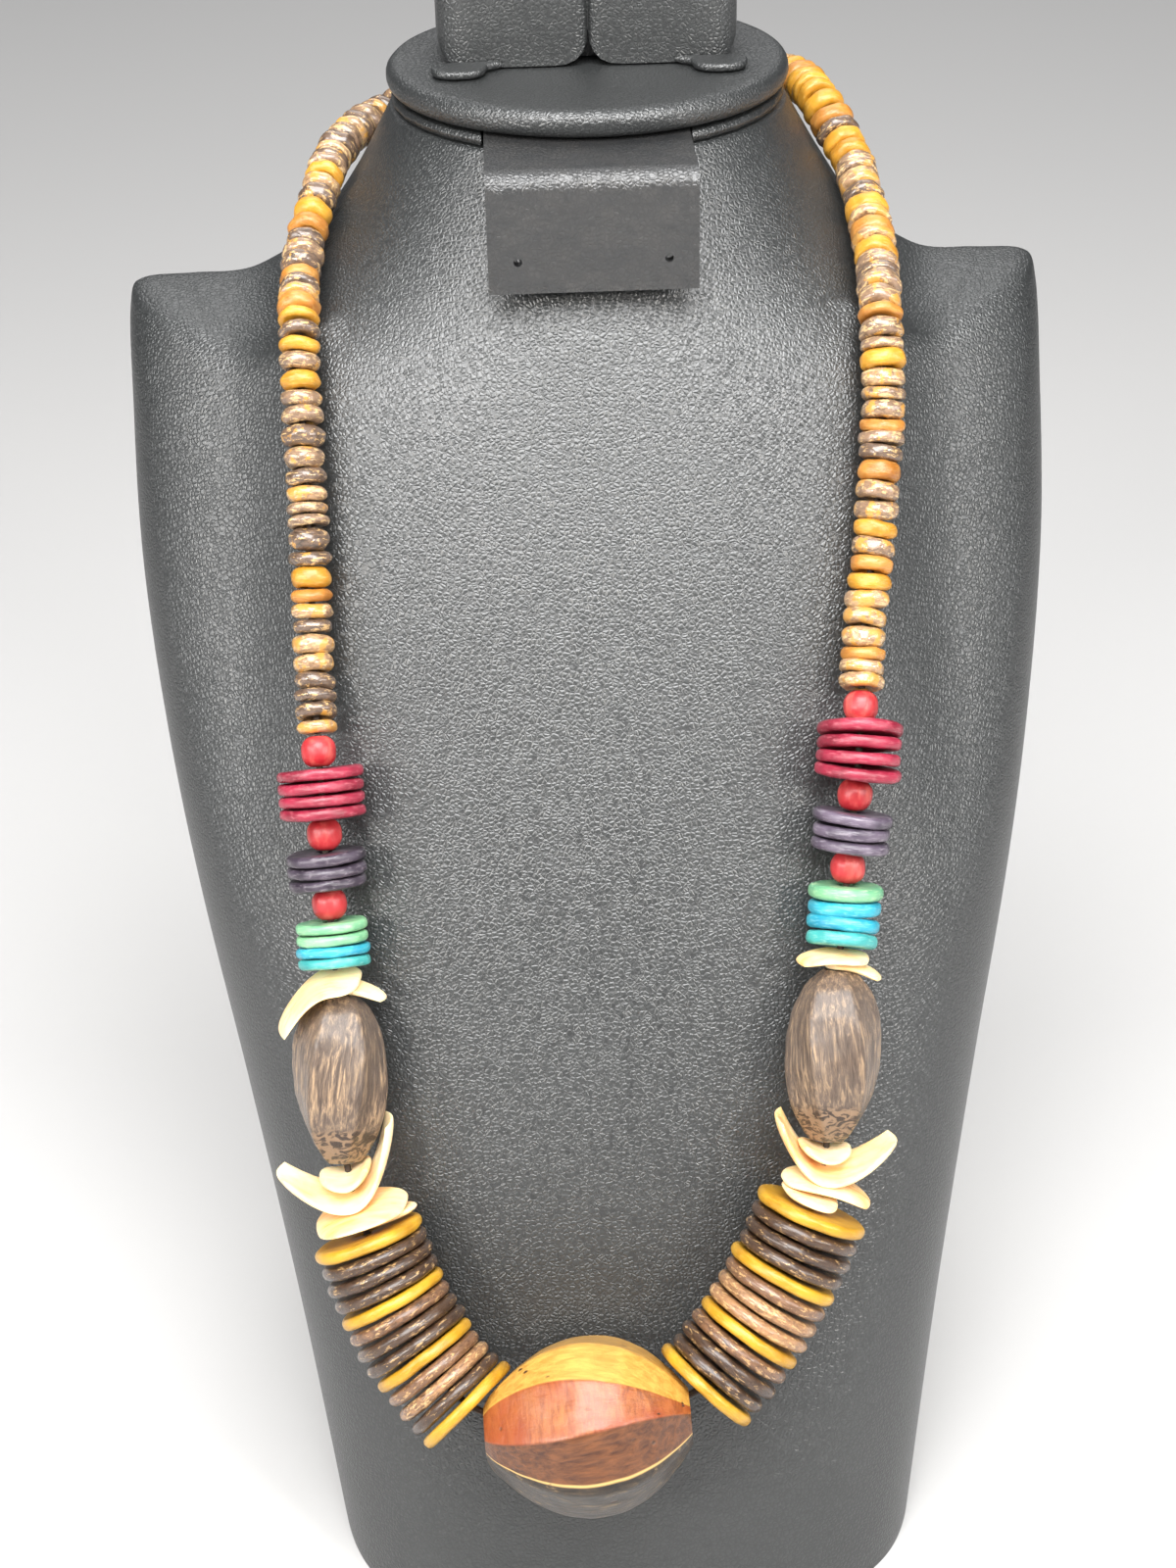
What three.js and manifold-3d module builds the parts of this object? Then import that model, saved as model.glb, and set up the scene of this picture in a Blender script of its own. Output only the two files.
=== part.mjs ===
// A beaded necklace on a neck bust, modelled in millimetres with +Z up and the front facing -Y.
// The origin lies on the flat underside of the bust, which stands on it.
// The necklace is one loop: every piece is threaded on one closed route in the order it is worn.

import * as THREE from 'three';
import { mergeVertices } from 'three/addons/utils/BufferGeometryUtils.js';
import Module from 'manifold-3d';

const wasm = await Module();
wasm.setup();

// Driving sizes: the bust.
const NECK_TOP = 245.5;        // height of the neck's upper face at its middle
const SHOULDER_HALF = 84.2;    // half of the width across the shoulders
const BUST_DEPTH = 140;        // front to back at the foot
const NECK_OFFSET = 1.7;       // the neck stands this far to the right of the middle
const TOP_LEAN = 4;            // degrees by which the top of the neck leans forward
const TORSO_SIDES = 36;
const SHOULDER_RIDGE_Y = 47;   // the top edge of the shoulders runs at this depth
const SHOULDER_ROUND = 10;     // how far their front rounds over below that edge
const SHOULDER_REACH = 27;     // over this depth in front of it
const SHOULDER_FALL = 0.8;     // slope at which they fall away behind it

// Driving sizes: cap, rolled ring, flap and post on the neck.
const PIECE_GAP = 0.3;         // clearance between pieces that rest on each other
const CAP_THICK = 5;
const CAP_ROUND = 1.6;
const NECK_CENTRE_Y = 53.5;
const RING_RADIUS = 35.8;
const CAP_OVERHANG = 0.7;      // of the cap over the ring
const CAP_RADIUS = RING_RADIUS + CAP_OVERHANG;
const RING_THICK = 2.2;
const FLAP_WIDTH = 35.6;
const FLAP_THICK = 2.2;
const FLAP_FRONT_Y = 1;        // outer face of the hanging panel
const FLAP_DROP = 20.6;        // from the top of the shelf to the lower edge
const FLAP_FOLD = 3.2;         // outer radius of the fold
const FLAP_X = 0.4;
const FLAP_NOTCH_DEPTH = 14;   // how far the ring is cut back to let the flap out
const EARRING_HOLE = 1.5;
const EARRING_HOLE_SPACING = 25.5;
const EARRING_HOLE_UP = 5.5;   // above the lower edge of the flap
const POST_WIDTH = 54;
const POST_DEPTH = 24;
const POST_HEIGHT = 44;
const POST_ROUND = 3.5;
const POST_CORNER = 6;         // radius of the lower corners of its lobes
const POST_NOTCH_DEPTH = 6;    // the notch between them goes this far back
const POST_FRONT = 9;          // from the neck's middle to the front of the post
const TAB_WIDTH = 10;
const TAB_REACH = 7;
const TAB_SKEW = 0.45;         // outward lean of each tongue, as a share of its reach
const TAB_THICK = 1.4;
const TAB_SPACING = 40;

// Driving sizes: beads, discs and thread.
const CORD_RADIUS = 0.6;
const CORE_RADIUS = 0.9;       // thread inside the red beads
const HOLE_CLEARANCE = 0.55;   // between a thread and the bore that it passes
const STRING_GAP = 0.3;        // between neighbours on the string
const COCO_RADIUS = 4;
const COCO_VALLEY = 2.7;       // radius between two neighbouring beads
const COCO_SIDES = 10;
const ROUND_RADIUS = 3;
const ROUND_LENGTH = 5.5;
const ROUND_SIDES = 10;
const BURGUNDY_RADIUS = 7.5;
const PURPLE_RADIUS = 7;
const TURQUOISE_RADIUS = 6.4;
const BIG_DISC_RADIUS = 10;
const BIG_DISC_THICK = 1.9;
const BIG_DISC_COUNT = 13;
const DISC_SIDES = 12;
const CARVED_LENGTH = 29.5;
const CARVED_RADIUS = 8.4;
const CARVED_BORE = 1.45;
const CARVED_TWIST = -40;      // degrees from end to end on the right strand
const CENTRE_LENGTH = 35.4;
const CENTRE_RADIUS = 15.8;
const CENTRE_SHIFT = 0.1;      // the centre bead sits this far towards the right strand
const CENTRE_HANG = 1.4;       // its bore runs this far above its own middle
const CENTRE_OUT = 3.4;        // and this far behind it
const CENTRE_BORE = 1.5;
const CENTRE_TWIST = 30;       // degrees by which the edges of its front facet close in to the right
const SHELL_REACH = 10;
const SHELL_THICK = 1.1;

// Chosen points of the closed route in x, y, z: from the centre bead up the left strand,
// round the back of the neck and down the right strand.
const STRING_ROUTE = [
  [-8.0, -74.7, 49.3], [-17.0, -74.7, 48.8], [-25.2, -74.6, 48.3], [-27.9, -73.4, 48.9],
  [-30.5, -71.8, 50.6], [-33.1, -69.9, 53.1], [-35.8, -67.9, 56.4], [-38.5, -65.7, 60.6],
  [-40.9, -63.3, 65.4], [-43.1, -60.8, 71.0], [-45.8, -57.0, 78.6], [-47.7, -53.5, 85.5],
  [-48.4, -47.3, 100.6], [-48.3, -41.0, 115.6], [-48.6, -38.2, 121.2], [-49.0, -34.3, 130.6],
  [-49.3, -29.9, 142.1], [-49.7, -24.0, 154.6], [-50.0, -16.6, 166.0], [-49.9, -10.2, 180.5],
  [-50.1, -3.9, 194.0], [-50.3, 2.6, 206.2], [-50.4, 10.3, 217.4], [-50.6, 20.2, 221.7],
  [-50.1, 27.2, 224.8], [-49.5, 33.0, 227.4], [-48.1, 39.5, 230.8], [-46.6, 46.9, 234.1],
  [-45.4, 53.5, 235.8], [-42.5, 63.4, 237.5], [-35.9, 75.2, 239.1], [-23.6, 86.4, 240.8],
  [-7.3, 93.0, 242.3], [9.2, 93.3, 243.4], [23.0, 88.4, 244.1], [34.2, 79.2, 244.6],
  [41.4, 66.7, 244.6], [44.0, 58.2, 243.2], [46.0, 52.6, 240.3], [48.2, 47.4, 236.4],
  [49.6, 43.0, 233.4], [50.0, 37.6, 230.9], [50.4, 31.5, 228.0], [50.8, 25.6, 224.9],
  [50.8, 19.2, 221.2], [50.0, 9.8, 217.4], [49.8, 1.3, 204.8], [48.5, -5.3, 192.9],
  [46.9, -11.4, 180.9], [44.9, -17.3, 168.8], [43.8, -23.5, 158.6], [42.9, -28.9, 150.1],
  [41.6, -32.5, 140.3], [40.5, -35.8, 131.4], [39.6, -38.9, 123.7], [38.6, -42.2, 118.0],
  [36.8, -49.7, 102.7], [35.1, -56.2, 87.8], [33.7, -59.0, 82.2], [29.5, -63.1, 72.6],
  [26.4, -65.3, 67.4], [23.4, -67.3, 62.6], [20.3, -69.1, 58.6], [17.3, -70.7, 55.3],
  [14.4, -72.3, 52.5], [11.7, -73.7, 50.7], [9.3, -74.7, 50.3], [1.0, -74.7, 49.8],
].map(([x, y, z]) => new THREE.Vector3(x, y, z));

const ROUTE_SAMPLES = 2400;
const route = new THREE.CatmullRomCurve3(STRING_ROUTE, true);
route.arcLengthDivisions = ROUTE_SAMPLES;
const LOOP_LENGTH = route.getLength();

// Frames carried along the route without twist, one for each sample.
const frames = [];
for (let i = 0; i <= ROUTE_SAMPLES; i += 1) {
  const u = (i % ROUTE_SAMPLES) / ROUTE_SAMPLES;
  const point = route.getPointAt(u);
  const along = route.getTangentAt(u).normalize();
  const side = i === 0 ? new THREE.Vector3(0, 0, 1) : frames[i - 1].side.clone();
  side.addScaledVector(along, -side.dot(along)).normalize();
  frames.push({ point, along, side });
}

// Place on the string at a distance from the centre bead; strand -1 is the left one, +1 the right.
function stringPlace(strand, distance) {
  const s = strand < 0 ? distance : LOOP_LENGTH - distance;
  const at = ((s / LOOP_LENGTH) % 1 + 1) % 1 * ROUTE_SAMPLES;
  const i = Math.floor(at);
  const a = frames[i];
  const b = frames[Math.min(i + 1, ROUTE_SAMPLES)];
  const point = a.point.clone().lerp(b.point, at - i);
  const along = a.along.clone().lerp(b.along, at - i).normalize();
  const side = a.side.clone().lerp(b.side, at - i);
  side.addScaledVector(along, -side.dot(along)).normalize();
  return { point, along, side };
}

// The same place as a frame that faces the viewer: x to the right, y to the back, z up the strand.
function facingBasis(strand, distance) {
  const { point, along } = stringPlace(strand, distance);
  const up = along.clone().multiplyScalar(strand < 0 ? 1 : -1);
  const right = new THREE.Vector3().crossVectors(new THREE.Vector3(0, 1, 0), up).normalize();
  const back = new THREE.Vector3().crossVectors(up, right);
  return { point, basis: new THREE.Matrix4().makeBasis(right, back, up) };
}

// A closed body from points and triangles, turned outward whatever the order of its rings.
function closedBody(points, faces) {
  let volume = 0;
  for (const [a, b, c] of faces) {
    volume += points[a].dot(new THREE.Vector3().crossVectors(points[b], points[c]));
  }
  const geometry = new THREE.BufferGeometry();
  const numbers = points.flatMap((p) => p.toArray());
  geometry.setAttribute('position', new THREE.Float32BufferAttribute(numbers, 3));
  geometry.setIndex(faces.flatMap(([a, b, c]) => (volume > 0 ? [a, b, c] : [a, c, b])));
  return geometry;
}

// Joins rings of equal count into a body. Ends get a flat fan, or the last ring meets the first.
function ringBody(rings, endless = false) {
  const sides = rings[0].length;
  const points = rings.flat();
  const faces = [];
  const spans = endless ? rings.length : rings.length - 1;
  for (let i = 0; i < spans; i += 1) {
    const low = i * sides;
    const high = ((i + 1) % rings.length) * sides;
    for (let j = 0; j < sides; j += 1) {
      const k = (j + 1) % sides;
      faces.push([low + j, low + k, high + k], [low + j, high + k, high + j]);
    }
  }
  if (!endless) {
    for (const [start, flip] of [[0, true], [(rings.length - 1) * sides, false]]) {
      const middle = new THREE.Vector3();
      for (let j = 0; j < sides; j += 1) {
        middle.addScaledVector(points[start + j], 1 / sides);
      }
      const centre = points.push(middle) - 1;
      for (let j = 0; j < sides; j += 1) {
        const a = start + j;
        const b = start + ((j + 1) % sides);
        faces.push(flip ? [b, a, centre] : [a, b, centre]);
      }
    }
  }
  return closedBody(points, faces);
}

// One ring of a body threaded on the string; tilt leans it about the line of sight, in degrees.
function stringRing(strand, distance, radius, sides, tilt = 0) {
  const { point, along, side } = stringPlace(strand, distance);
  const other = new THREE.Vector3().crossVectors(along, side);
  const lean = new THREE.Matrix4().makeRotationY(THREE.MathUtils.degToRad(tilt));
  const ring = [];
  for (let j = 0; j < sides; j += 1) {
    const angle = (j / sides) * 2 * Math.PI;
    const spoke = side.clone().multiplyScalar(Math.cos(angle)).addScaledVector(other, Math.sin(angle));
    ring.push(spoke.applyMatrix4(lean).multiplyScalar(radius).add(point));
  }
  return ring;
}

function toManifold(geometry) {
  const bare = new THREE.BufferGeometry();
  bare.setAttribute('position', geometry.getAttribute('position').clone());
  if (geometry.index) {
    bare.setIndex(geometry.index.clone());
  }
  const merged = mergeVertices(bare, 1e-4);
  return new wasm.Manifold(new wasm.Mesh({
    numProp: 3,
    vertProperties: new Float32Array(merged.getAttribute('position').array),
    triVerts: new Uint32Array(merged.index.array),
  }));
}

function fromManifold(solid) {
  const mesh = solid.getMesh();
  const geometry = new THREE.BufferGeometry();
  geometry.setAttribute('position', new THREE.BufferAttribute(new Float32Array(mesh.vertProperties), 3));
  geometry.setIndex(new THREE.BufferAttribute(new Uint32Array(mesh.triVerts), 1));
  return geometry;
}

function cut(geometry, tools) {
  const solid = tools.reduce((left, tool) => left.subtract(toManifold(tool)), toManifold(geometry));
  return fromManifold(solid);
}

const group = new THREE.Group();

function add(name, geometry, colour, roughness, parent = group) {
  geometry.computeVertexNormals();
  const material = new THREE.MeshStandardMaterial({ color: colour, roughness, metalness: 0 });
  const mesh = new THREE.Mesh(geometry, material);
  mesh.name = name;
  parent.add(mesh);
  return mesh;
}

const LEATHERETTE = 0x2b2c2e;
const LEATHERETTE_WORN = 0x26221f;
const MUSTARD = 0xc08a1e;
const COCO_BROWN = 0x4a3528;
const COCO_TAN = 0x8a6238;
const RED = 0xa3262f;
const BURGUNDY = 0x6e1430;
const PURPLE = 0x3d2f44;
const TURQUOISE = 0x2f8f93;
const CARVED_WOOD = 0x4d3b2e;
const SHELL = 0xe9d3a4;
const CENTRE_WOOD = 0x9c5a2c;
const THREAD = 0x3a2a1e;

// Levels of the torso from the foot to the top of the neck. Height is a share of NECK_TOP, width of
// SHOULDER_HALF, front and back of BUST_DEPTH; square is the exponent of the outline, offset a share
// of NECK_OFFSET and lean a share of the forward lean.
const TORSO_LEVELS = [
  { height: 0, width: 0.659, front: -0.529, back: 0.471, square: 4.0, offset: 0, lean: 0 },
  { height: 0.163, width: 0.734, front: -0.457, back: 0.5, square: 3.6, offset: 0, lean: 0 },
  { height: 0.326, width: 0.827, front: -0.364, back: 0.529, square: 3.2, offset: 0, lean: 0 },
  { height: 0.468, width: 0.914, front: -0.271, back: 0.55, square: 2.9, offset: 0, lean: 0 },
  { height: 0.591, width: 0.968, front: -0.186, back: 0.571, square: 2.65, offset: 0, lean: 0 },
  { height: 0.713, width: 1, front: -0.1, back: 0.593, square: 2.5, offset: 0, lean: 0 },
  { height: 0.815, width: 1, front: -0.021, back: 0.614, square: 2.3, offset: 0, lean: 0 },
  { height: 0.866, width: 0.995, front: 0.02, back: 0.621, square: 1.95, offset: 0, lean: 0 },
  { height: 0.881, width: 0.97, front: 0.033, back: 0.625, square: 1.85, offset: 0.05, lean: 0 },
  { height: 0.884, width: 0.86, front: 0.035, back: 0.627, square: 1.9, offset: 0.2, lean: 0 },
  { height: 0.888, width: 0.725, front: 0.038, back: 0.629, square: 2.0, offset: 0.4, lean: 0 },
  { height: 0.9155, width: 0.6, front: 0.058, back: 0.632, square: 2.0, offset: 0.75, lean: 0.1 },
  { height: 0.953, width: 0.511, front: 0.088, back: 0.638, square: 2.0, offset: 1, lean: 0.5 },
  { height: 1, width: 0.428, front: 0.125, back: 0.639, square: 2.0, offset: 1, lean: 1 },
];
const LEVEL_STEPS = [1, 1, 1, 1, 2, 2, 2, 2, 1, 1, 2, 2, 2];   // rings in each gap between levels

function torsoLevel(index, share) {
  const last = TORSO_LEVELS.length - 1;
  const before = TORSO_LEVELS[Math.max(index - 1, 0)];
  const low = TORSO_LEVELS[index];
  const high = TORSO_LEVELS[Math.min(index + 1, last)];
  const after = TORSO_LEVELS[Math.min(index + 2, last)];
  const level = {};
  for (const column of Object.keys(low)) {
    const leave = (high[column] - before[column]) / 2;
    const arrive = (after[column] - low[column]) / 2;
    level[column] = (2 * share ** 3 - 3 * share ** 2 + 1) * low[column]
      + (share ** 3 - 2 * share ** 2 + share) * leave
      + (3 * share ** 2 - 2 * share ** 3) * high[column]
      + (share ** 3 - share ** 2) * arrive;
  }
  return level;
}

const rise = THREE.MathUtils.smoothstep;

// How far a point of the shoulders lies below the level that its ring is drawn at.
function shoulderDrop(x, y, height) {
  const out = rise(Math.abs(x), SHOULDER_HALF * 0.52, SHOULDER_HALF * 0.78);
  const up = rise(height, 0.45, 0.87);
  const front = SHOULDER_ROUND * (Math.max(SHOULDER_RIDGE_Y - y, 0) / SHOULDER_REACH) ** 1.6;
  const back = SHOULDER_FALL * Math.max(y - SHOULDER_RIDGE_Y, 0);
  return out * up * (front + back);
}

function torsoRing(level) {
  const half = level.width * SHOULDER_HALF;
  const front = level.front * BUST_DEPTH;
  const back = level.back * BUST_DEPTH;
  const ring = [];
  for (let j = 0; j < TORSO_SIDES; j += 1) {
    const angle = (j / TORSO_SIDES) * 2 * Math.PI;
    const c = Math.cos(angle);
    const s = Math.sin(angle);
    const x = Math.sign(c) * Math.abs(c) ** (2 / level.square) * half + level.offset * NECK_OFFSET;
    const y = (front + back) / 2 + Math.sign(s) * Math.abs(s) ** (2 / level.square) * (back - front) / 2;
    const lean = level.lean * Math.tan(THREE.MathUtils.degToRad(TOP_LEAN)) * (y - NECK_CENTRE_Y);
    const z = level.height * NECK_TOP + lean - shoulderDrop(x, y, level.height);
    ring.push(new THREE.Vector3(x, y, z));
  }
  return ring;
}

const torsoRings = [];
LEVEL_STEPS.forEach((steps, index) => {
  for (let step = 0; step < steps; step += 1) {
    torsoRings.push(torsoRing(torsoLevel(index, step / steps)));
  }
});
torsoRings.push(torsoRing(torsoLevel(TORSO_LEVELS.length - 2, 1)));
add('bust_torso', ringBody(torsoRings), LEATHERETTE, 0.5);

// Everything on the neck sits in one group that leans forward with it; its origin is the middle
// of the neck's upper face.
const top = new THREE.Group();
top.position.set(NECK_OFFSET, NECK_CENTRE_Y, NECK_TOP);
top.rotation.x = THREE.MathUtils.degToRad(TOP_LEAN);
group.add(top);

// A round plate with a softened rim, lying flat.
function roundPlate(radius, thick, round, sides) {
  const profile = [
    [0, 0], [radius - round, 0], [radius - round * 0.3, round * 0.3], [radius, round],
    [radius, thick - round], [radius - round * 0.3, thick - round * 0.3], [radius - round, thick],
    [0, thick],
  ].map(([r, z]) => new THREE.Vector2(r, z));
  const plate = new THREE.LatheGeometry(profile, sides);
  plate.rotateX(Math.PI / 2);
  return plate;
}

const RING_BOTTOM = PIECE_GAP;
const CAP_BOTTOM = RING_BOTTOM + RING_THICK + PIECE_GAP;
const CAP_TOP = CAP_BOTTOM + CAP_THICK;

const ringPlate = roundPlate(RING_RADIUS, RING_THICK, RING_THICK * 0.45, 32);
ringPlate.translate(0, 0, RING_BOTTOM);
const notch = new THREE.BoxGeometry(FLAP_WIDTH + 2 * PIECE_GAP, FLAP_NOTCH_DEPTH * 2, RING_THICK * 3);
notch.translate(FLAP_X - NECK_OFFSET, -RING_RADIUS, RING_BOTTOM + RING_THICK / 2);
add('neck_ring', cut(ringPlate, [notch]), LEATHERETTE, 0.5, top);

const cap = roundPlate(CAP_RADIUS, CAP_THICK, CAP_ROUND, 36);
cap.translate(0, 0, CAP_BOTTOM);
add('neck_cap', cap, LEATHERETTE, 0.45, top);

// The flap: a shelf that comes out under the cap and folds down in front of the throat.
const flapBack = -RING_RADIUS + FLAP_NOTCH_DEPTH - PIECE_GAP;
const flapFront = FLAP_FRONT_Y - NECK_CENTRE_Y;
const flapTop = RING_BOTTOM + RING_THICK;
const flapSide = new THREE.Shape();
const foldInner = FLAP_FOLD - FLAP_THICK;
flapSide.moveTo(flapBack, flapTop);
flapSide.lineTo(flapFront + FLAP_FOLD, flapTop);
flapSide.absarc(flapFront + FLAP_FOLD, flapTop - FLAP_FOLD, FLAP_FOLD, Math.PI / 2, Math.PI, false);
flapSide.lineTo(flapFront, flapTop - FLAP_DROP);
flapSide.lineTo(flapFront + FLAP_THICK, flapTop - FLAP_DROP);
flapSide.lineTo(flapFront + FLAP_THICK, flapTop - FLAP_FOLD);
flapSide.absarc(flapFront + FLAP_FOLD, flapTop - FLAP_FOLD, foldInner, Math.PI, Math.PI / 2, true);
flapSide.lineTo(flapBack, flapTop - FLAP_THICK);
const flap = new THREE.ExtrudeGeometry(flapSide, {
  depth: FLAP_WIDTH, bevelEnabled: false, curveSegments: 5,
});
flap.translate(0, 0, -FLAP_WIDTH / 2);
flap.applyMatrix4(new THREE.Matrix4().set(0, 0, 1, 0, 1, 0, 0, 0, 0, 1, 0, 0, 0, 0, 0, 1));
flap.translate(FLAP_X - NECK_OFFSET, 0, 0);
const flapHoles = [-1, 1].map((side) => {
  const hole = new THREE.CylinderGeometry(EARRING_HOLE / 2, EARRING_HOLE / 2, FLAP_THICK * 3, 10);
  return hole.translate(
    FLAP_X - NECK_OFFSET + (side * EARRING_HOLE_SPACING) / 2,
    flapFront + FLAP_THICK / 2,
    flapTop - FLAP_DROP + EARRING_HOLE_UP,
  );
});
add('earring_flap', cut(flap, flapHoles), LEATHERETTE_WORN, 0.6, top);

// The post: two rounded lobes side by side with a crease between them, cut off flat at the top.
const POST_CREASE = 1.6;
const postPlan = new THREE.Shape();
const postHalf = POST_WIDTH / 2;
const postBackY = POST_DEPTH;
postPlan.moveTo(0, POST_CREASE);
postPlan.quadraticCurveTo(POST_CREASE * 0.6, 0, POST_CREASE * 2, 0);
postPlan.lineTo(postHalf - POST_ROUND * 2, 0);
postPlan.quadraticCurveTo(postHalf, 0, postHalf, POST_ROUND * 2);
postPlan.lineTo(postHalf, postBackY - POST_ROUND);
postPlan.quadraticCurveTo(postHalf, postBackY, postHalf - POST_ROUND, postBackY);
postPlan.lineTo(-postHalf + POST_ROUND, postBackY);
postPlan.quadraticCurveTo(-postHalf, postBackY, -postHalf, postBackY - POST_ROUND);
postPlan.lineTo(-postHalf, POST_ROUND * 2);
postPlan.quadraticCurveTo(-postHalf, 0, -postHalf + POST_ROUND * 2, 0);
postPlan.lineTo(-POST_CREASE * 2, 0);
postPlan.quadraticCurveTo(-POST_CREASE * 0.6, 0, 0, POST_CREASE);
const post = new THREE.ExtrudeGeometry(postPlan, {
  depth: POST_HEIGHT, bevelEnabled: false, curveSegments: 4,
});

// Rounds the lower corners of the lobes: the outer ones right through, the inner ones in front.
function cornerCutter(outline, depth) {
  const shape = new THREE.Shape();
  const [[startX, startZ], ...rest] = outline;
  shape.moveTo(startX, startZ);
  rest.forEach(([x, z, viaX, viaZ]) => {
    if (viaX === undefined) shape.lineTo(x, z);
    else shape.quadraticCurveTo(viaX, viaZ, x, z);
  });
  const cutter = new THREE.ExtrudeGeometry(shape, {
    depth: depth + 1, bevelEnabled: false, curveSegments: 5,
  });
  cutter.rotateX(Math.PI / 2);
  return cutter.translate(0, depth, 0);
}
const cornerCutters = [-1, 1].map((side) => cornerCutter([
  [side * (postHalf + 1), -1],
  [side * (postHalf - POST_CORNER), -1],
  [side * (postHalf - POST_CORNER), 0],
  [side * postHalf, POST_CORNER, side * postHalf, 0],
  [side * (postHalf + 1), POST_CORNER],
], POST_DEPTH + 1));
cornerCutters.push(cornerCutter([
  [-POST_CORNER, -1],
  [-POST_CORNER, 0],
  [0, POST_CORNER, 0, 0],
  [POST_CORNER, 0, 0, 0],
  [POST_CORNER, -1],
], POST_NOTCH_DEPTH));
const lobes = cut(post, cornerCutters);
lobes.translate(0, -POST_FRONT, CAP_TOP + PIECE_GAP);
add('display_post', lobes, LEATHERETTE, 0.5, top);

// Two short tongues lie on the cap in front of the post, one under each lobe.
for (const [name, side] of [['post_tab_left', -1], ['post_tab_right', 1]]) {
  const tongue = new THREE.Shape();
  const half = TAB_WIDTH / 2;
  const tip = side * TAB_SKEW * TAB_REACH;
  tongue.moveTo(-half, 0);
  tongue.lineTo(tip - half, -TAB_REACH + half);
  tongue.quadraticCurveTo(tip - half, -TAB_REACH, tip, -TAB_REACH);
  tongue.quadraticCurveTo(tip + half, -TAB_REACH, tip + half, -TAB_REACH + half);
  tongue.lineTo(half, 0);
  const tab = new THREE.ExtrudeGeometry(tongue, {
    depth: TAB_THICK, bevelEnabled: false, curveSegments: 5,
  });
  tab.translate((side * TAB_SPACING) / 2, -POST_FRONT - PIECE_GAP, CAP_TOP + PIECE_GAP);
  add(name, tab, LEATHERETTE, 0.5, top);
}

// What is threaded on each strand, from the centre bead upwards. Pitch is the room that
// one disc takes along the string, chips the room kept for the shell chips.
const STRANDS = [
  { name: 'left', strand: -1, start: 19.7, bigPitch: 2.83, lowerChips: 12.7, upperChips: 4.2,
    turquoisePitch: 2.1, purplePitch: 2.2, burgundyPitch: 2.2, tilt: 4, cocoPitch: 3.08 },
  { name: 'right', strand: 1, start: 20, bigPitch: 2.95, lowerChips: 11.5, upperChips: 3.8,
    turquoisePitch: 2.8, purplePitch: 2.4, burgundyPitch: 2.45, tilt: -2, cocoPitch: 2.9 },
];
const STACKS = [
  { label: 'turquoise', count: 4, radius: TURQUOISE_RADIUS, colour: TURQUOISE },
  { label: 'purple', count: 3, radius: PURPLE_RADIUS, colour: PURPLE },
  { label: 'burgundy', count: 4, radius: BURGUNDY_RADIUS, colour: BURGUNDY },
];
const DISC_COLOURS = [MUSTARD, COCO_BROWN, COCO_BROWN, COCO_BROWN, MUSTARD, COCO_BROWN, COCO_BROWN,
  COCO_BROWN, MUSTARD, COCO_BROWN, COCO_BROWN, COCO_BROWN, MUSTARD];

// A disc with a rounded rim and a bore, as a closed lathe profile round its own axis.
function discGeometry(radius, thick, bore, sides) {
  const half = thick / 2;
  const profile = [
    [bore, -half], [radius - half * 0.7, -half], [radius, -half * 0.25], [radius, half * 0.25],
    [radius - half * 0.7, half], [bore, half], [bore, -half],
  ].map(([r, h]) => new THREE.Vector2(r, h));
  return new THREE.LatheGeometry(profile, sides);
}

// The big discs turn evenly between the directions of the string at the two ends of their run.
function bigDiscs({ name, strand, bigPitch }, start) {
  const bore = CORD_RADIUS + HOLE_CLEARANCE;
  const run = BIG_DISC_COUNT * bigPitch;
  const pointAt = (distance) => stringPlace(strand, distance).point;
  const direction = (from, to) => pointAt(to).sub(pointAt(from)).normalize();
  const lowest = direction(start, start + run * 0.3);
  const highest = direction(start + run * 0.75, start + run);
  for (let i = 0; i < BIG_DISC_COUNT; i += 1) {
    const order = BIG_DISC_COUNT - i;
    const { point } = stringPlace(strand, start + (i + 0.5) * bigPitch);
    const along = lowest.clone().lerp(highest, i / (BIG_DISC_COUNT - 1)).normalize();
    const geometry = discGeometry(BIG_DISC_RADIUS, BIG_DISC_THICK, bore, DISC_SIDES);
    const disc = add(`big_disc_${name}_${String(order).padStart(2, '0')}`, geometry, DISC_COLOURS[i], 0.4);
    disc.position.copy(point);
    disc.quaternion.setFromUnitVectors(new THREE.Vector3(0, 1, 0), along);
  }
}

// A stack of discs on one bore, fused at its middle as the lacquered discs cling together.
function discStack(strand, start, count, pitch, radius, tilt) {
  const bore = CORE_RADIUS + HOLE_CLEARANCE;
  const rings = [];
  for (let i = 0; i < count; i += 1) {
    const low = start + i * pitch;
    const waist = radius * 0.8;
    rings.push(stringRing(strand, low + STRING_GAP / 2, i === 0 ? bore + 1.2 : waist, DISC_SIDES, tilt));
    rings.push(stringRing(strand, low + pitch * 0.28, radius, DISC_SIDES, tilt));
    rings.push(stringRing(strand, low + pitch * 0.72, radius, DISC_SIDES, tilt));
  }
  const end = start + count * pitch - STRING_GAP / 2;
  rings.push(stringRing(strand, end, bore + 1.2, DISC_SIDES, tilt));
  rings.push(stringRing(strand, end, bore, DISC_SIDES, tilt));
  rings.push(stringRing(strand, start + STRING_GAP / 2, bore, DISC_SIDES, tilt));
  return ringBody(rings, true);
}

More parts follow.
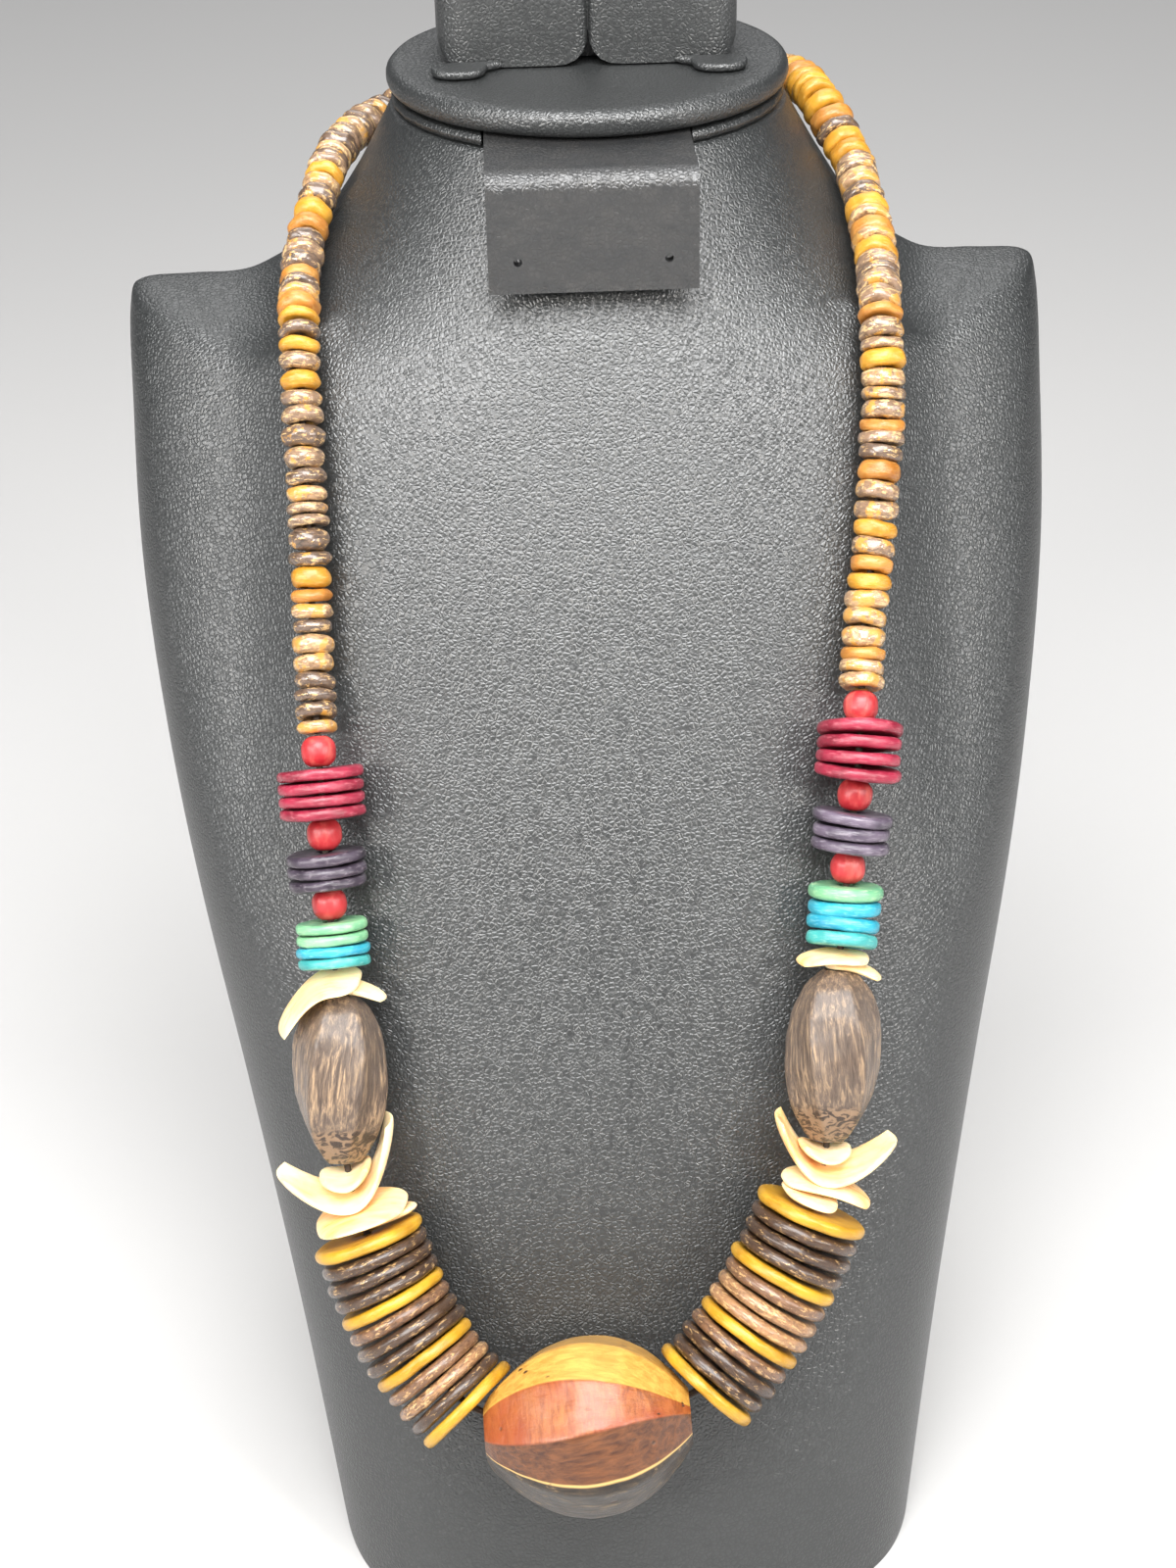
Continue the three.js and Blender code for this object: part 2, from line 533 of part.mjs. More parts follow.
// The three red beads with the thread that joins them through the stacks.
function redBeads(strand, start, end, middles) {
  const arch = [[-0.5, 0.42], [-0.34, 0.8], [0, 1], [0.34, 0.8], [0.5, 0.42]];
  const half = ROUND_LENGTH - STRING_GAP;
  const rings = [stringRing(strand, start, CORE_RADIUS, ROUND_SIDES)];
  for (const middle of middles) {
    rings.push(stringRing(strand, middle - half * 0.5 - 0.02, CORE_RADIUS, ROUND_SIDES));
    for (const [share, width] of arch) {
      rings.push(stringRing(strand, middle + share * half, width * ROUND_RADIUS, ROUND_SIDES));
    }
    rings.push(stringRing(strand, middle + half * 0.5 + 0.02, CORE_RADIUS, ROUND_SIDES));
  }
  rings.push(stringRing(strand, end, CORE_RADIUS, ROUND_SIDES));
  return ringBody(rings);
}

// A run of small coco beads, each a thick ring with rounded edges, fused on their thread.
function cocoString(strand, start, end, pitch) {
  const count = Math.round((end - start) / pitch);
  const step = (end - start) / count;
  const rings = [stringRing(strand, start, COCO_VALLEY, COCO_SIDES)];
  for (let i = 0; i < count; i += 1) {
    rings.push(stringRing(strand, start + (i + 0.5) * step, COCO_RADIUS, COCO_SIDES));
    rings.push(stringRing(strand, start + (i + 1) * step, COCO_VALLEY, COCO_SIDES));
  }
  return ringBody(rings);
}

// A carved bead: rows of its profile as shares of half the length and of the radius, corners in
// degrees round the axis, each with its turn from end to end, and a bore. Side -1 turns them the
// other way.
const CARVED_PROFILE = [[-1, 0.38], [-0.88, 0.56], [-0.62, 0.82], [-0.25, 0.98], [0.1, 1], [0.45, 0.94],
  [0.75, 0.75], [0.91, 0.52], [1, 0.34]];
const CARVED_CORNERS = [-34, 30, 88, 140, 200, 262].map((corner) => [corner, CARVED_TWIST]);
const CENTRE_PROFILE = [[-1, 0.3], [-0.93, 0.43], [-0.8, 0.58], [-0.6, 0.76], [-0.32, 0.93], [0, 1],
  [0.34, 0.94], [0.62, 0.77], [0.82, 0.56], [0.94, 0.4], [1, 0.3]];
const CENTRE_CORNERS = [[-174, 0], [-140, 0], [-94, 0], [-50, 0], [-8, 12], [34, 12], [80, 12],
  [122, CENTRE_TWIST], [161, -CENTRE_TWIST]];

function carvedBead(length, radius, profile, corners, side, bore, boreAt = [0, 0]) {
  const rings = profile.map(([along, width]) => corners.map(([corner, turn]) => {
    const angle = THREE.MathUtils.degToRad(corner + (side * along * turn) / 2 - 90);
    return new THREE.Vector3(Math.cos(angle), Math.sin(angle), 0).multiplyScalar(width * radius)
      .setZ((along * length) / 2);
  }));
  const drill = new THREE.CylinderGeometry(bore, bore, length * 1.5, 8);
  drill.rotateX(Math.PI / 2);
  drill.translate(...boreAt, 0);
  return cut(ringBody(rings), [drill]);
}

function placeFacing(mesh, strand, distance) {
  const { point, basis } = facingBasis(strand, distance);
  mesh.quaternion.setFromRotationMatrix(basis);
  mesh.position.copy(point);
}

// Shell chips. At is the distance above the start of their zone in mm; left, right, front and back
// reaches and the lift of each tip are shares of SHELL_REACH; nod lowers the front edge, in degrees.
const SHELL_CHIPS = [
  { name: 'shell_left_top_curl', strand: -1, zone: 'upper', at: 3.3, left: 1.05, right: 0.45,
    front: 0.75, back: 0.15, liftLeft: -0.85, liftRight: -0.05, nod: 18 },
  { name: 'shell_left_top_strip', strand: -1, zone: 'upper', at: 1.39, left: 0.25, right: 0.85,
    front: 0.34, back: 0.2, liftLeft: -0.04, liftRight: -0.28, nod: 18 },
  { name: 'shell_left_inner', strand: -1, zone: 'lower', at: 10.1, left: 0.5, right: 0.42,
    front: 0.55, back: 0.3, liftLeft: 0.12, liftRight: 0.2, nod: 20 },
  { name: 'shell_left_smile', strand: -1, zone: 'lower', at: 6.7, left: 1.2, right: 1.05,
    front: 0.4, back: 0.35, liftLeft: 0.75, liftRight: 1.1, nod: 22 },
  { name: 'shell_left_saddle', strand: -1, zone: 'lower', at: 4.7, left: 0.8, right: 0.9,
    front: 0.75, back: 0.35, liftLeft: -0.12, liftRight: -0.12, nod: 28 },
  { name: 'shell_left_under', strand: -1, zone: 'lower', at: 1.4, left: 0.5, right: 1,
    front: 0.35, back: 0.4, liftLeft: 0, liftRight: 0.02, nod: 8 },
  { name: 'shell_right_top_curl', strand: 1, zone: 'upper', at: 2.92, left: 0.75, right: 0.5,
    front: 0.6, back: 0.15, liftLeft: -0.2, liftRight: -0.03, nod: 17 },
  { name: 'shell_right_top_strip', strand: 1, zone: 'upper', at: 1.3, left: 0.28, right: 0.75,
    front: 0.33, back: 0.2, liftLeft: -0.02, liftRight: -0.22, nod: 15 },
  { name: 'shell_right_inner', strand: 1, zone: 'lower', at: 9.45, left: 0.5, right: 0.42,
    front: 0.5, back: 0.25, liftLeft: 0.14, liftRight: 0.14, nod: 16 },
  { name: 'shell_right_smile', strand: 1, zone: 'lower', at: 6.5, left: 1, right: 1.2,
    front: 0.4, back: 0.35, liftLeft: 0.85, liftRight: 0.7, nod: 20 },
  { name: 'shell_right_arch', strand: 1, zone: 'lower', at: 4.6, left: 0.7, right: 0.95,
    front: 0.5, back: 0.35, liftLeft: -0.1, liftRight: -0.22, nod: 22 },
  { name: 'shell_right_plate', strand: 1, zone: 'lower', at: 1.9, left: 0.65, right: 0.35,
    front: 0.7, back: 0.3, liftLeft: 0, liftRight: 0, nod: 12 },
];
const SHELL_COLUMNS = 6;
const SHELL_ROWS = 2;

// A curved plate: it spans left to right and front to back, its tips narrow and lift, and a bore
// lets the string through.
function shellChip(chip) {
  const surface = (u, v) => {
    const reach = u < 0 ? chip.left : chip.right;
    const lift = u < 0 ? chip.liftLeft : chip.liftRight;
    const narrow = Math.sqrt(1 - 0.72 * u * u);
    const depth = (v < 0 ? chip.front : chip.back) * narrow;
    const tip = 1 - 0.12 * v * v;
    const fall = Math.sin(THREE.MathUtils.degToRad(chip.nod)) * depth * v;
    return new THREE.Vector3(u * reach * tip, v * depth, lift * u * u + fall).multiplyScalar(SHELL_REACH);
  };
  const points = [];
  const faces = [];
  const wide = SHELL_COLUMNS + 1;
  const layer = wide * (SHELL_ROWS + 1);
  for (const lift of [-0.5, 0.5]) {
    for (let r = 0; r <= SHELL_ROWS; r += 1) {
      for (let c = 0; c <= SHELL_COLUMNS; c += 1) {
        const u = (c / SHELL_COLUMNS) * 2 - 1;
        const v = (r / SHELL_ROWS) * 2 - 1;
        const p = surface(u, v);
        const du = surface(u + 0.01, v).sub(surface(u - 0.01, v));
        const dv = surface(u, v + 0.01).sub(surface(u, v - 0.01));
        const normal = new THREE.Vector3().crossVectors(du, dv).normalize();
        points.push(p.addScaledVector(normal, lift * SHELL_THICK));
      }
    }
  }
  const quad = (a, b, c, d) => faces.push([a, b, c], [a, c, d]);
  for (let r = 0; r < SHELL_ROWS; r += 1) {
    for (let c = 0; c < SHELL_COLUMNS; c += 1) {
      const a = r * wide + c;
      quad(a, a + wide, a + wide + 1, a + 1);
      quad(layer + a, layer + a + 1, layer + a + wide + 1, layer + a + wide);
    }
  }
  const rim = [];
  for (let c = 0; c < SHELL_COLUMNS; c += 1) {
    rim.push(c);
  }
  for (let r = 0; r < SHELL_ROWS; r += 1) {
    rim.push(r * wide + SHELL_COLUMNS);
  }
  for (let c = SHELL_COLUMNS; c > 0; c -= 1) {
    rim.push(SHELL_ROWS * wide + c);
  }
  for (let r = SHELL_ROWS; r > 0; r -= 1) {
    rim.push(r * wide);
  }
  rim.forEach((a, i) => {
    const b = rim[(i + 1) % rim.length];
    quad(a, b, layer + b, layer + a);
  });
  const bore = CORD_RADIUS + HOLE_CLEARANCE;
  const drill = new THREE.CylinderGeometry(bore, bore, SHELL_REACH, 8);
  drill.rotateX(Math.PI / 2);
  return cut(closedBody(points, faces), [drill]);
}

const cordEnds = {};
for (const row of STRANDS) {
  const { name, strand } = row;
  let cursor = row.start;

  bigDiscs(row, cursor);
  cursor += BIG_DISC_COUNT * row.bigPitch;

  const zones = { lower: cursor };
  cursor += row.lowerChips;

  const carved = carvedBead(CARVED_LENGTH, CARVED_RADIUS, CARVED_PROFILE, CARVED_CORNERS,
    strand, CARVED_BORE);
  placeFacing(add(`carved_bead_${name}`, carved, CARVED_WOOD, 0.55), strand, cursor + CARVED_LENGTH / 2);
  cursor += CARVED_LENGTH;
  zones.upper = cursor;
  cursor += row.upperChips;

  for (const chip of SHELL_CHIPS.filter((each) => each.strand === strand)) {
    placeFacing(add(chip.name, shellChip(chip), SHELL, 0.35), strand, zones[chip.zone] + chip.at);
  }
  cordEnds[name] = cursor;

  const coreStart = cursor + STRING_GAP;
  const middles = [];
  for (const { label, count, radius, colour } of STACKS) {
    const pitch = row[`${label}Pitch`];
    add(`${label}_discs_${name}`, discStack(strand, cursor, count, pitch, radius, row.tilt), colour, 0.45);
    cursor += count * pitch;
    middles.push(cursor + ROUND_LENGTH / 2);
    cursor += ROUND_LENGTH;
  }
  const coreEnd = cursor - STRING_GAP / 2;
  add(`red_bead_string_${name}`, redBeads(strand, coreStart, coreEnd, middles), RED, 0.5);

  const coco = cocoString(strand, cursor + STRING_GAP / 2, (LOOP_LENGTH - STRING_GAP) / 2, row.cocoPitch);
  add(`coco_string_${name}`, coco, strand < 0 ? COCO_BROWN : COCO_TAN, 0.4);
}

// The bore lies off the middle, so the heavy side hangs low and out.
const centre = carvedBead(CENTRE_LENGTH, CENTRE_RADIUS, CENTRE_PROFILE, CENTRE_CORNERS, 1,
  CENTRE_BORE, [CENTRE_HANG, -CENTRE_OUT]);
const centreMesh = add('centre_bead', centre, CENTRE_WOOD, 0.45);
const { point: centrePoint, along: centreAlong } = stringPlace(-1, 0);
const rightward = centreAlong.clone().negate();
const backward = new THREE.Vector3(0, 1, 0).addScaledVector(rightward, -rightward.y).normalize();
const upward = new THREE.Vector3().crossVectors(rightward, backward);
const centreBasis = new THREE.Matrix4().makeBasis(upward, backward.clone().negate(), rightward);
centreMesh.quaternion.setFromRotationMatrix(centreBasis);
centreMesh.position.copy(centrePoint).addScaledVector(rightward, CENTRE_SHIFT)
  .addScaledVector(upward, -CENTRE_HANG).addScaledVector(backward, -CENTRE_OUT);

class CordPath extends THREE.Curve {
  getPoint(t, target = new THREE.Vector3()) {
    const distance = THREE.MathUtils.lerp(-cordEnds.left, cordEnds.right, t);
    return target.copy(stringPlace(distance < 0 ? -1 : 1, Math.abs(distance)).point);
  }
}
const cordSection = new THREE.Shape();
cordSection.absarc(0, 0, CORD_RADIUS, 0, 2 * Math.PI, false);
const cord = new THREE.ExtrudeGeometry(cordSection, {
  extrudePath: new CordPath(), steps: 60, curveSegments: 3,
});
add('front_thread', cord, THREAD, 0.7);

export default group;
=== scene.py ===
import math
import random
import bmesh
import bpy
import numpy as np
from mathutils import Matrix, Vector, noise


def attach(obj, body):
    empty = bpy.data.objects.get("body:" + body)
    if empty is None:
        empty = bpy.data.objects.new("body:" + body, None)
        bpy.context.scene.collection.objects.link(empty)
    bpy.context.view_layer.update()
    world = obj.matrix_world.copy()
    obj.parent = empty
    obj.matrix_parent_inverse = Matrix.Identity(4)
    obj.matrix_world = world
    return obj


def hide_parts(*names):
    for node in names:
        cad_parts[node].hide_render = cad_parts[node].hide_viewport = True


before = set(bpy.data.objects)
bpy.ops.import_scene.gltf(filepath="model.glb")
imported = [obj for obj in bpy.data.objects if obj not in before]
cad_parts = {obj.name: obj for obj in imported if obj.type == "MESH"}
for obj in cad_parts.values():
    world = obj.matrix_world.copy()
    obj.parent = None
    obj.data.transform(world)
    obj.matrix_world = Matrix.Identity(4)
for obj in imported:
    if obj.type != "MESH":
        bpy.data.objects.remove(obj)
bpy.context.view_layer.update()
random.seed(7)
MM = 0.001

# sizes in mm and degrees, as in the solids but for CENTRE_TWIST and SHELL_SWELL

NECK_TOP, SHOULDER_HALF, BUST_DEPTH = 245.5, 84.2, 140.0
NECK_OFFSET, TOP_LEAN, NECK_CENTRE_Y = 1.7, 4.0, 53.5
PIECE_GAP, RING_RADIUS, RING_THICK = 0.3, 35.8, 2.2
CAP_RADIUS, CAP_THICK = RING_RADIUS + 0.7, 5.0
COCO_RADIUS, ROUND_RADIUS, ROUND_LENGTH = 4.0, 3.0, 5.5
BURGUNDY_RADIUS, PURPLE_RADIUS, TURQUOISE_RADIUS = 7.5, 7.0, 6.4
BIG_RADIUS, BIG_THICK, BIG_COUNT = 10.0, 1.9, 13
CARVED_LENGTH, CARVED_RADIUS, CARVED_TWIST = 29.5, 8.4, -40
CENTRE_LENGTH, CENTRE_RADIUS, CENTRE_TWIST = 35.4, 15.8, 20
SHELL_REACH, SHELL_THICK, SHELL_SWELL = 10.0, 1.1, 0.3
THREAD_RADIUS, THREAD_SIDES = 0.6, 8

ROUTE = [
    (-8.0, -74.7, 49.3), (-17.0, -74.7, 48.8), (-25.2, -74.6, 48.3), (-27.9, -73.4, 48.9),
    (-30.5, -71.8, 50.6), (-33.1, -69.9, 53.1), (-35.8, -67.9, 56.4), (-38.5, -65.7, 60.6),
    (-40.9, -63.3, 65.4), (-43.1, -60.8, 71.0), (-45.8, -57.0, 78.6), (-47.7, -53.5, 85.5),
    (-48.4, -47.3, 100.6), (-48.3, -41.0, 115.6), (-48.6, -38.2, 121.2), (-49.0, -34.3, 130.6),
    (-49.3, -29.9, 142.1), (-49.7, -24.0, 154.6), (-50.0, -16.6, 166.0), (-49.9, -10.2, 180.5),
    (-50.1, -3.9, 194.0), (-50.3, 2.6, 206.2), (-50.4, 10.3, 217.4), (-50.6, 20.2, 221.7),
    (-50.1, 27.2, 224.8), (-49.5, 33.0, 227.4), (-48.1, 39.5, 230.8), (-46.6, 46.9, 234.1),
    (-45.4, 53.5, 235.8), (-42.5, 63.4, 237.5), (-35.9, 75.2, 239.1), (-23.6, 86.4, 240.8),
    (-7.3, 93.0, 242.3), (9.2, 93.3, 243.4), (23.0, 88.4, 244.1), (34.2, 79.2, 244.6),
    (41.4, 66.7, 244.6), (44.0, 58.2, 243.2), (46.0, 52.6, 240.3), (48.2, 47.4, 236.4),
    (49.6, 43.0, 233.4), (50.0, 37.6, 230.9), (50.4, 31.5, 228.0), (50.8, 25.6, 224.9),
    (50.8, 19.2, 221.2), (50.0, 9.8, 217.4), (49.8, 1.3, 204.8), (48.5, -5.3, 192.9),
    (46.9, -11.4, 180.9), (44.9, -17.3, 168.8), (43.8, -23.5, 158.6), (42.9, -28.9, 150.1),
    (41.6, -32.5, 140.3), (40.5, -35.8, 131.4), (39.6, -38.9, 123.7), (38.6, -42.2, 118.0),
    (36.8, -49.7, 102.7), (35.1, -56.2, 87.8), (33.7, -59.0, 82.2), (29.5, -63.1, 72.6),
    (26.4, -65.3, 67.4), (23.4, -67.3, 62.6), (20.3, -69.1, 58.6), (17.3, -70.7, 55.3),
    (14.4, -72.3, 52.5), (11.7, -73.7, 50.7), (9.3, -74.7, 50.3), (1.0, -74.7, 49.8),
]

STRANDS = {
    -1: dict(name="left", start=19.7, big=2.83, lower=12.7, upper=4.2, turquoise=2.1,
             purple=2.2, burgundy=2.2, coco=3.08),
    1: dict(name="right", start=20.0, big=2.95, lower=11.5, upper=3.8, turquoise=2.8,
            purple=2.4, burgundy=2.45, coco=2.9),
}


# the route of the string

def cubic(t, low, high, slope_low, slope_high):
    """A point at share t of the curve between low and high, with a slope at each end."""
    return ((2 * t**3 - 3 * t**2 + 1) * low + (t**3 - 2 * t**2 + t) * slope_low
            + (3 * t**2 - 2 * t**3) * high + (t**3 - t**2) * slope_high)


def spaced_spline(points):
    """Closed Catmull-Rom curve with centripetal spacing, as dense samples."""
    steps = 60
    p = np.array(points, float)
    n = len(p)
    out = []
    for i in range(n):
        p0, p1, p2, p3 = p[(i - 1) % n], p[i], p[(i + 1) % n], p[(i + 2) % n]
        d0, d1, d2 = (max(np.sum((b - a) ** 2) ** 0.25, 1e-4) for a, b in ((p0, p1), (p1, p2), (p2, p3)))
        m1 = ((p1 - p0) / d0 - (p2 - p0) / (d0 + d1) + (p2 - p1) / d1) * d1
        m2 = ((p2 - p1) / d1 - (p3 - p1) / (d1 + d2) + (p3 - p2) / d2) * d1
        for t in np.arange(steps) / steps:
            out.append(cubic(t, p1, p2, m1, m2))
    return np.array(out)


LINE = spaced_spline(ROUTE)
LINE = np.vstack([LINE, LINE[:1]])
ARC = np.concatenate([[0], np.cumsum(np.linalg.norm(np.diff(LINE, axis=0), axis=1))])
LOOP = ARC[-1]
BACKWARD = np.array([0.0, 1.0, 0.0])


def on_string(s):
    s = s % LOOP
    return np.array([np.interp(s, ARC, LINE[:, k]) for k in range(3)])


def along_string(s):
    d = on_string(s + 0.4) - on_string(s - 0.4)
    return d / np.linalg.norm(d)


def arc_of(strand, distance):
    return distance if strand < 0 else LOOP - distance


def basis(point, z, ref):
    """Axes at a point: z as given, y as near to ref as it goes, x to complete them."""
    z = z / np.linalg.norm(z)
    x = np.cross(ref, z)
    x /= np.linalg.norm(x)
    return np.array(point), np.array([x, np.cross(z, x), z])


def up_strand(strand, distance):
    """A point of the strand, and the way up the strand from there."""
    s = arc_of(strand, distance)
    return on_string(s), along_string(s) * (1 if strand < 0 else -1)


def facing(strand, distance):
    """Right, back and up-the-strand axes at a distance from the centre bead."""
    point, up = up_strand(strand, distance)
    return basis(point, up, BACKWARD)


def bead_frame(strand, distance):
    """Axes for a round bead: y points outward from the middle of the bust."""
    point, up = up_strand(strand, distance)
    out = point - np.array([NECK_OFFSET, NECK_CENTRE_Y, 0.0])
    out[2] = 0
    return basis(point, up, -out)


# mesh helpers

class Builder:
    """Gathers several shapes into one mesh, with the shape's own coordinates and a tone for each."""

    def __init__(self):
        self.verts, self.faces, self.mats, self.local, self.tone = [], [], [], [], []
        self.count = 0

    def add(self, verts, faces, place=None, mat=0, local=None):
        verts = np.asarray(verts, float)
        own = verts if local is None else np.asarray(local, float)
        if place is not None:
            point, axes = place
            world = point + verts @ axes
        else:
            world = verts
        self.verts.append(world * MM)
        self.faces += [[i + self.count for i in f] for f in faces]
        self.mats += [mat] * len(faces)
        self.local.append(own * MM)
        self.tone.append(np.full(len(verts), random.random()))
        self.count += len(verts)

    def build(self, name, materials, replaced):
        mesh = bpy.data.meshes.new(name)
        mesh.from_pydata(np.vstack(self.verts).tolist(), [], self.faces)
        mesh.polygons.foreach_set("material_index", self.mats)
        mesh.polygons.foreach_set("use_smooth", [True] * len(self.faces))
        own = mesh.attributes.new("own", "FLOAT_VECTOR", "POINT")
        own.data.foreach_set("vector", np.vstack(self.local).ravel())
        tone = mesh.attributes.new("tone", "FLOAT", "POINT")
        tone.data.foreach_set("value", np.concatenate(self.tone))
        for m in materials:
            mesh.materials.append(m)
        mesh.update()
        obj = bpy.data.objects.new(name, mesh)
        bpy.context.collection.objects.link(obj)
        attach(obj, "root")
        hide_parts(*replaced)


def grid_faces(rows, cols, endless=False):
    """Quads between rings of points; an endless grid also joins its last ring to its first."""
    faces = []
    for i in range(rows if endless else rows - 1):
        for j in range(cols):
            a, b = i * cols, ((i + 1) % rows) * cols
            k = (j + 1) % cols
            faces.append([a + j, a + k, b + k, b + j])
    return faces


def thread_tube(places):
    """A thin tube through a row of places, each a point with its axes."""
    angles = np.arange(THREAD_SIDES) * 2 * math.pi / THREAD_SIDES
    tube = []
    for point, axes in places:
        tube += [point + THREAD_RADIUS * (math.cos(a) * axes[0] + math.sin(a) * axes[1]) for a in angles]
    return tube, grid_faces(len(places), THREAD_SIDES)


def lathe(profile, sides, bump, scale, seed, oval=0.0, wave=0.0):
    """A body turned about z from a profile that closes on itself, made a little uneven."""
    angles = np.arange(sides) / sides * 2 * math.pi
    verts = []
    for r, z in profile:
        for a in angles:
            p = Vector((math.cos(a) * r, math.sin(a) * r, z))
            q = p * scale + Vector((seed, seed * 0.7, -seed))
            out = 1 + oval * math.cos(2 * a + seed) + bump * noise.noise(q) / max(r, 1)
            p.x *= out
            p.y *= out
            p.z += wave * r * math.sin(a * 2 + seed) + bump * 0.5 * noise.noise(q + Vector((9, 3, 5)))
            verts.append(p)
    return verts, grid_faces(len(profile), sides, endless=True)


def disc_profile(radius, half, bore, power, steps, dish=0.0):
    """Closed half section of a disc: a bore, flat faces and a rim rounded by a power curve."""
    rim = []
    edge = min(half * 1.1, radius * 0.5)
    for i in range(steps + 1):
        a = -math.pi / 2 + math.pi * i / steps
        c, s = math.cos(a), math.sin(a)
        r = radius - edge + edge * abs(c) ** (2 / power)
        rim.append((r, half * math.copysign(abs(s) ** (2 / power), s)))
    ring = [(bore, -half * (1 - dish)), (bore + (radius - bore) * 0.35, -half * (1 - dish * 0.6))]
    ring += rim
    ring += [(bore + (radius - bore) * 0.35, half * (1 - dish * 0.6)), (bore, half * (1 - dish))]
    return ring


# materials

class Nodes:
    """Short ways to wire a procedural material."""

    def __init__(self, name):
        self.mat = bpy.data.materials.new(name)
        self.mat.use_nodes = True
        self.tree = self.mat.node_tree
        self.shader = self.tree.nodes["Principled BSDF"]

    def node(self, kind, **values):
        n = self.tree.nodes.new(kind)
        for key, value in values.items():
            setattr(n, key, value)
        return n

    def link(self, a, b):
        self.tree.links.new(a, b)

    def own(self, scale=(1, 1, 1), shift=True):
        """The shape's own coordinates, stretched, moved by its tone so that no two look alike."""
        attr = self.node("ShaderNodeAttribute", attribute_name="own")
        mapping = self.node("ShaderNodeMapping")
        mapping.inputs["Scale"].default_value = scale
        self.link(attr.outputs["Vector"], mapping.inputs["Vector"])
        if shift:
            tone = self.node("ShaderNodeAttribute", attribute_name="tone")
            far = self.node("ShaderNodeVectorMath", operation="SCALE")
            far.inputs[0].default_value = (3.1, 1.7, 2.3)
            self.link(tone.outputs["Fac"], far.inputs["Scale"])
            self.link(far.outputs["Vector"], mapping.inputs["Location"])
        return mapping.outputs["Vector"]

    def place(self):
        return self.node("ShaderNodeTexCoord").outputs["Object"]

    def tone(self):
        return self.node("ShaderNodeAttribute", attribute_name="tone").outputs["Fac"]

    def noise(self, vector, scale, detail=4, rough=0.55, distort=0.0):
        n = self.node("ShaderNodeTexNoise")
        n.inputs["Scale"].default_value = scale
        n.inputs["Detail"].default_value = detail
        n.inputs["Roughness"].default_value = rough
        n.inputs["Distortion"].default_value = distort
        self.link(vector, n.inputs["Vector"])
        return n.outputs["Fac"]

    def voronoi(self, vector, scale, feature="F1"):
        n = self.node("ShaderNodeTexVoronoi", feature=feature)
        n.inputs["Scale"].default_value = scale
        self.link(vector, n.inputs["Vector"])
        return n.outputs["Distance"]

    def ramp(self, value, *stops):
        n = self.node("ShaderNodeValToRGB")
        el = n.color_ramp.elements
        while len(el) < len(stops):
            el.new(0.5)
        for e, (pos, colour) in zip(el, stops):
            e.position = pos
            e.color = (*colour, 1) if not isinstance(colour, (int, float)) else (colour,) * 3 + (1,)
        self.link(value, n.inputs["Fac"])
        return n.outputs["Color"]

    def mix(self, factor, a, b):
        n = self.node("ShaderNodeMix", data_type="RGBA")
        for socket, value in ((n.inputs["Factor"], factor), (n.inputs["A"], a), (n.inputs["B"], b)):
            if isinstance(value, bpy.types.NodeSocket):
                self.link(value, socket)
            elif isinstance(value, tuple):
                socket.default_value = (*value, 1)
            else:
                socket.default_value = value
        return n.outputs["Result"]

    def math(self, operation, a, b):
        n = self.node("ShaderNodeMath", operation=operation)
        for socket, value in ((n.inputs[0], a), (n.inputs[1], b)):
            if isinstance(value, bpy.types.NodeSocket):
                self.link(value, socket)
            else:
                socket.default_value = value
        return n.outputs["Value"]

    def colour(self, socket):
        self.link(socket, self.shader.inputs["Base Color"])

    def rough(self, value, low=None, high=None):
        if isinstance(value, bpy.types.NodeSocket):
            n = self.node("ShaderNodeMapRange")
            n.inputs["To Min"].default_value = low
            n.inputs["To Max"].default_value = high
            self.link(value, n.inputs["Value"])
            self.link(n.outputs["Result"], self.shader.inputs["Roughness"])
        else:
            self.shader.inputs["Roughness"].default_value = value

    def bump(self, *layers):
        """Each layer is a height socket and a depth in mm."""
        last = None
        for height, depth in layers:
            n = self.node("ShaderNodeBump")
            n.inputs["Strength"].default_value = 1
            n.inputs["Distance"].default_value = depth * MM
            self.link(height, n.inputs["Height"])
            if last:
                self.link(last, n.inputs["Normal"])
            last = n.outputs["Normal"]
        self.link(last, self.shader.inputs["Normal"])


def leatherette(name, worn=False):
    """Black leatherette: small pebbles, with painted shade darkening the creases between them."""
    m = Nodes(name)
    p = m.place()
    bent = m.node("ShaderNodeVectorMath", operation="MULTIPLY_ADD")
    drift = m.node("ShaderNodeTexNoise")
    drift.inputs["Scale"].default_value = 700
    m.link(p, drift.inputs["Vector"])
    m.link(drift.outputs["Color"], bent.inputs[0])
    bent.inputs[1].default_value = (0.0006, 0.0006, 0.0006)
    m.link(p, bent.inputs[2])
    pebble = m.ramp(m.voronoi(bent.outputs["Vector"], 1250, "DISTANCE_TO_EDGE"), (0.0, 0.0), (0.3, 1.0))
    broad = m.noise(p, 22, 3)
    fine = m.noise(p, 300, 4)
    if worn:
        base = m.ramp(fine, (0.35, (0.014, 0.015, 0.016)), (0.68, (0.028, 0.027, 0.026)))
    else:
        base = m.ramp(broad, (0.3, (0.019, 0.021, 0.021)), (0.7, (0.028, 0.03, 0.03)))
    # painted shade: the colour is darkened towards near black in the creases between the pebbles
    m.colour(m.mix(m.ramp(pebble, (0.0, 0.65), (0.5, 0.0)), base, (0.008, 0.008, 0.009)))
    m.rough(broad, 0.36, 0.41)
    m.shader.inputs["Specular IOR Level"].default_value = 1.0
    m.bump((pebble, 0.075), (fine, 0.04))
    return m.mat


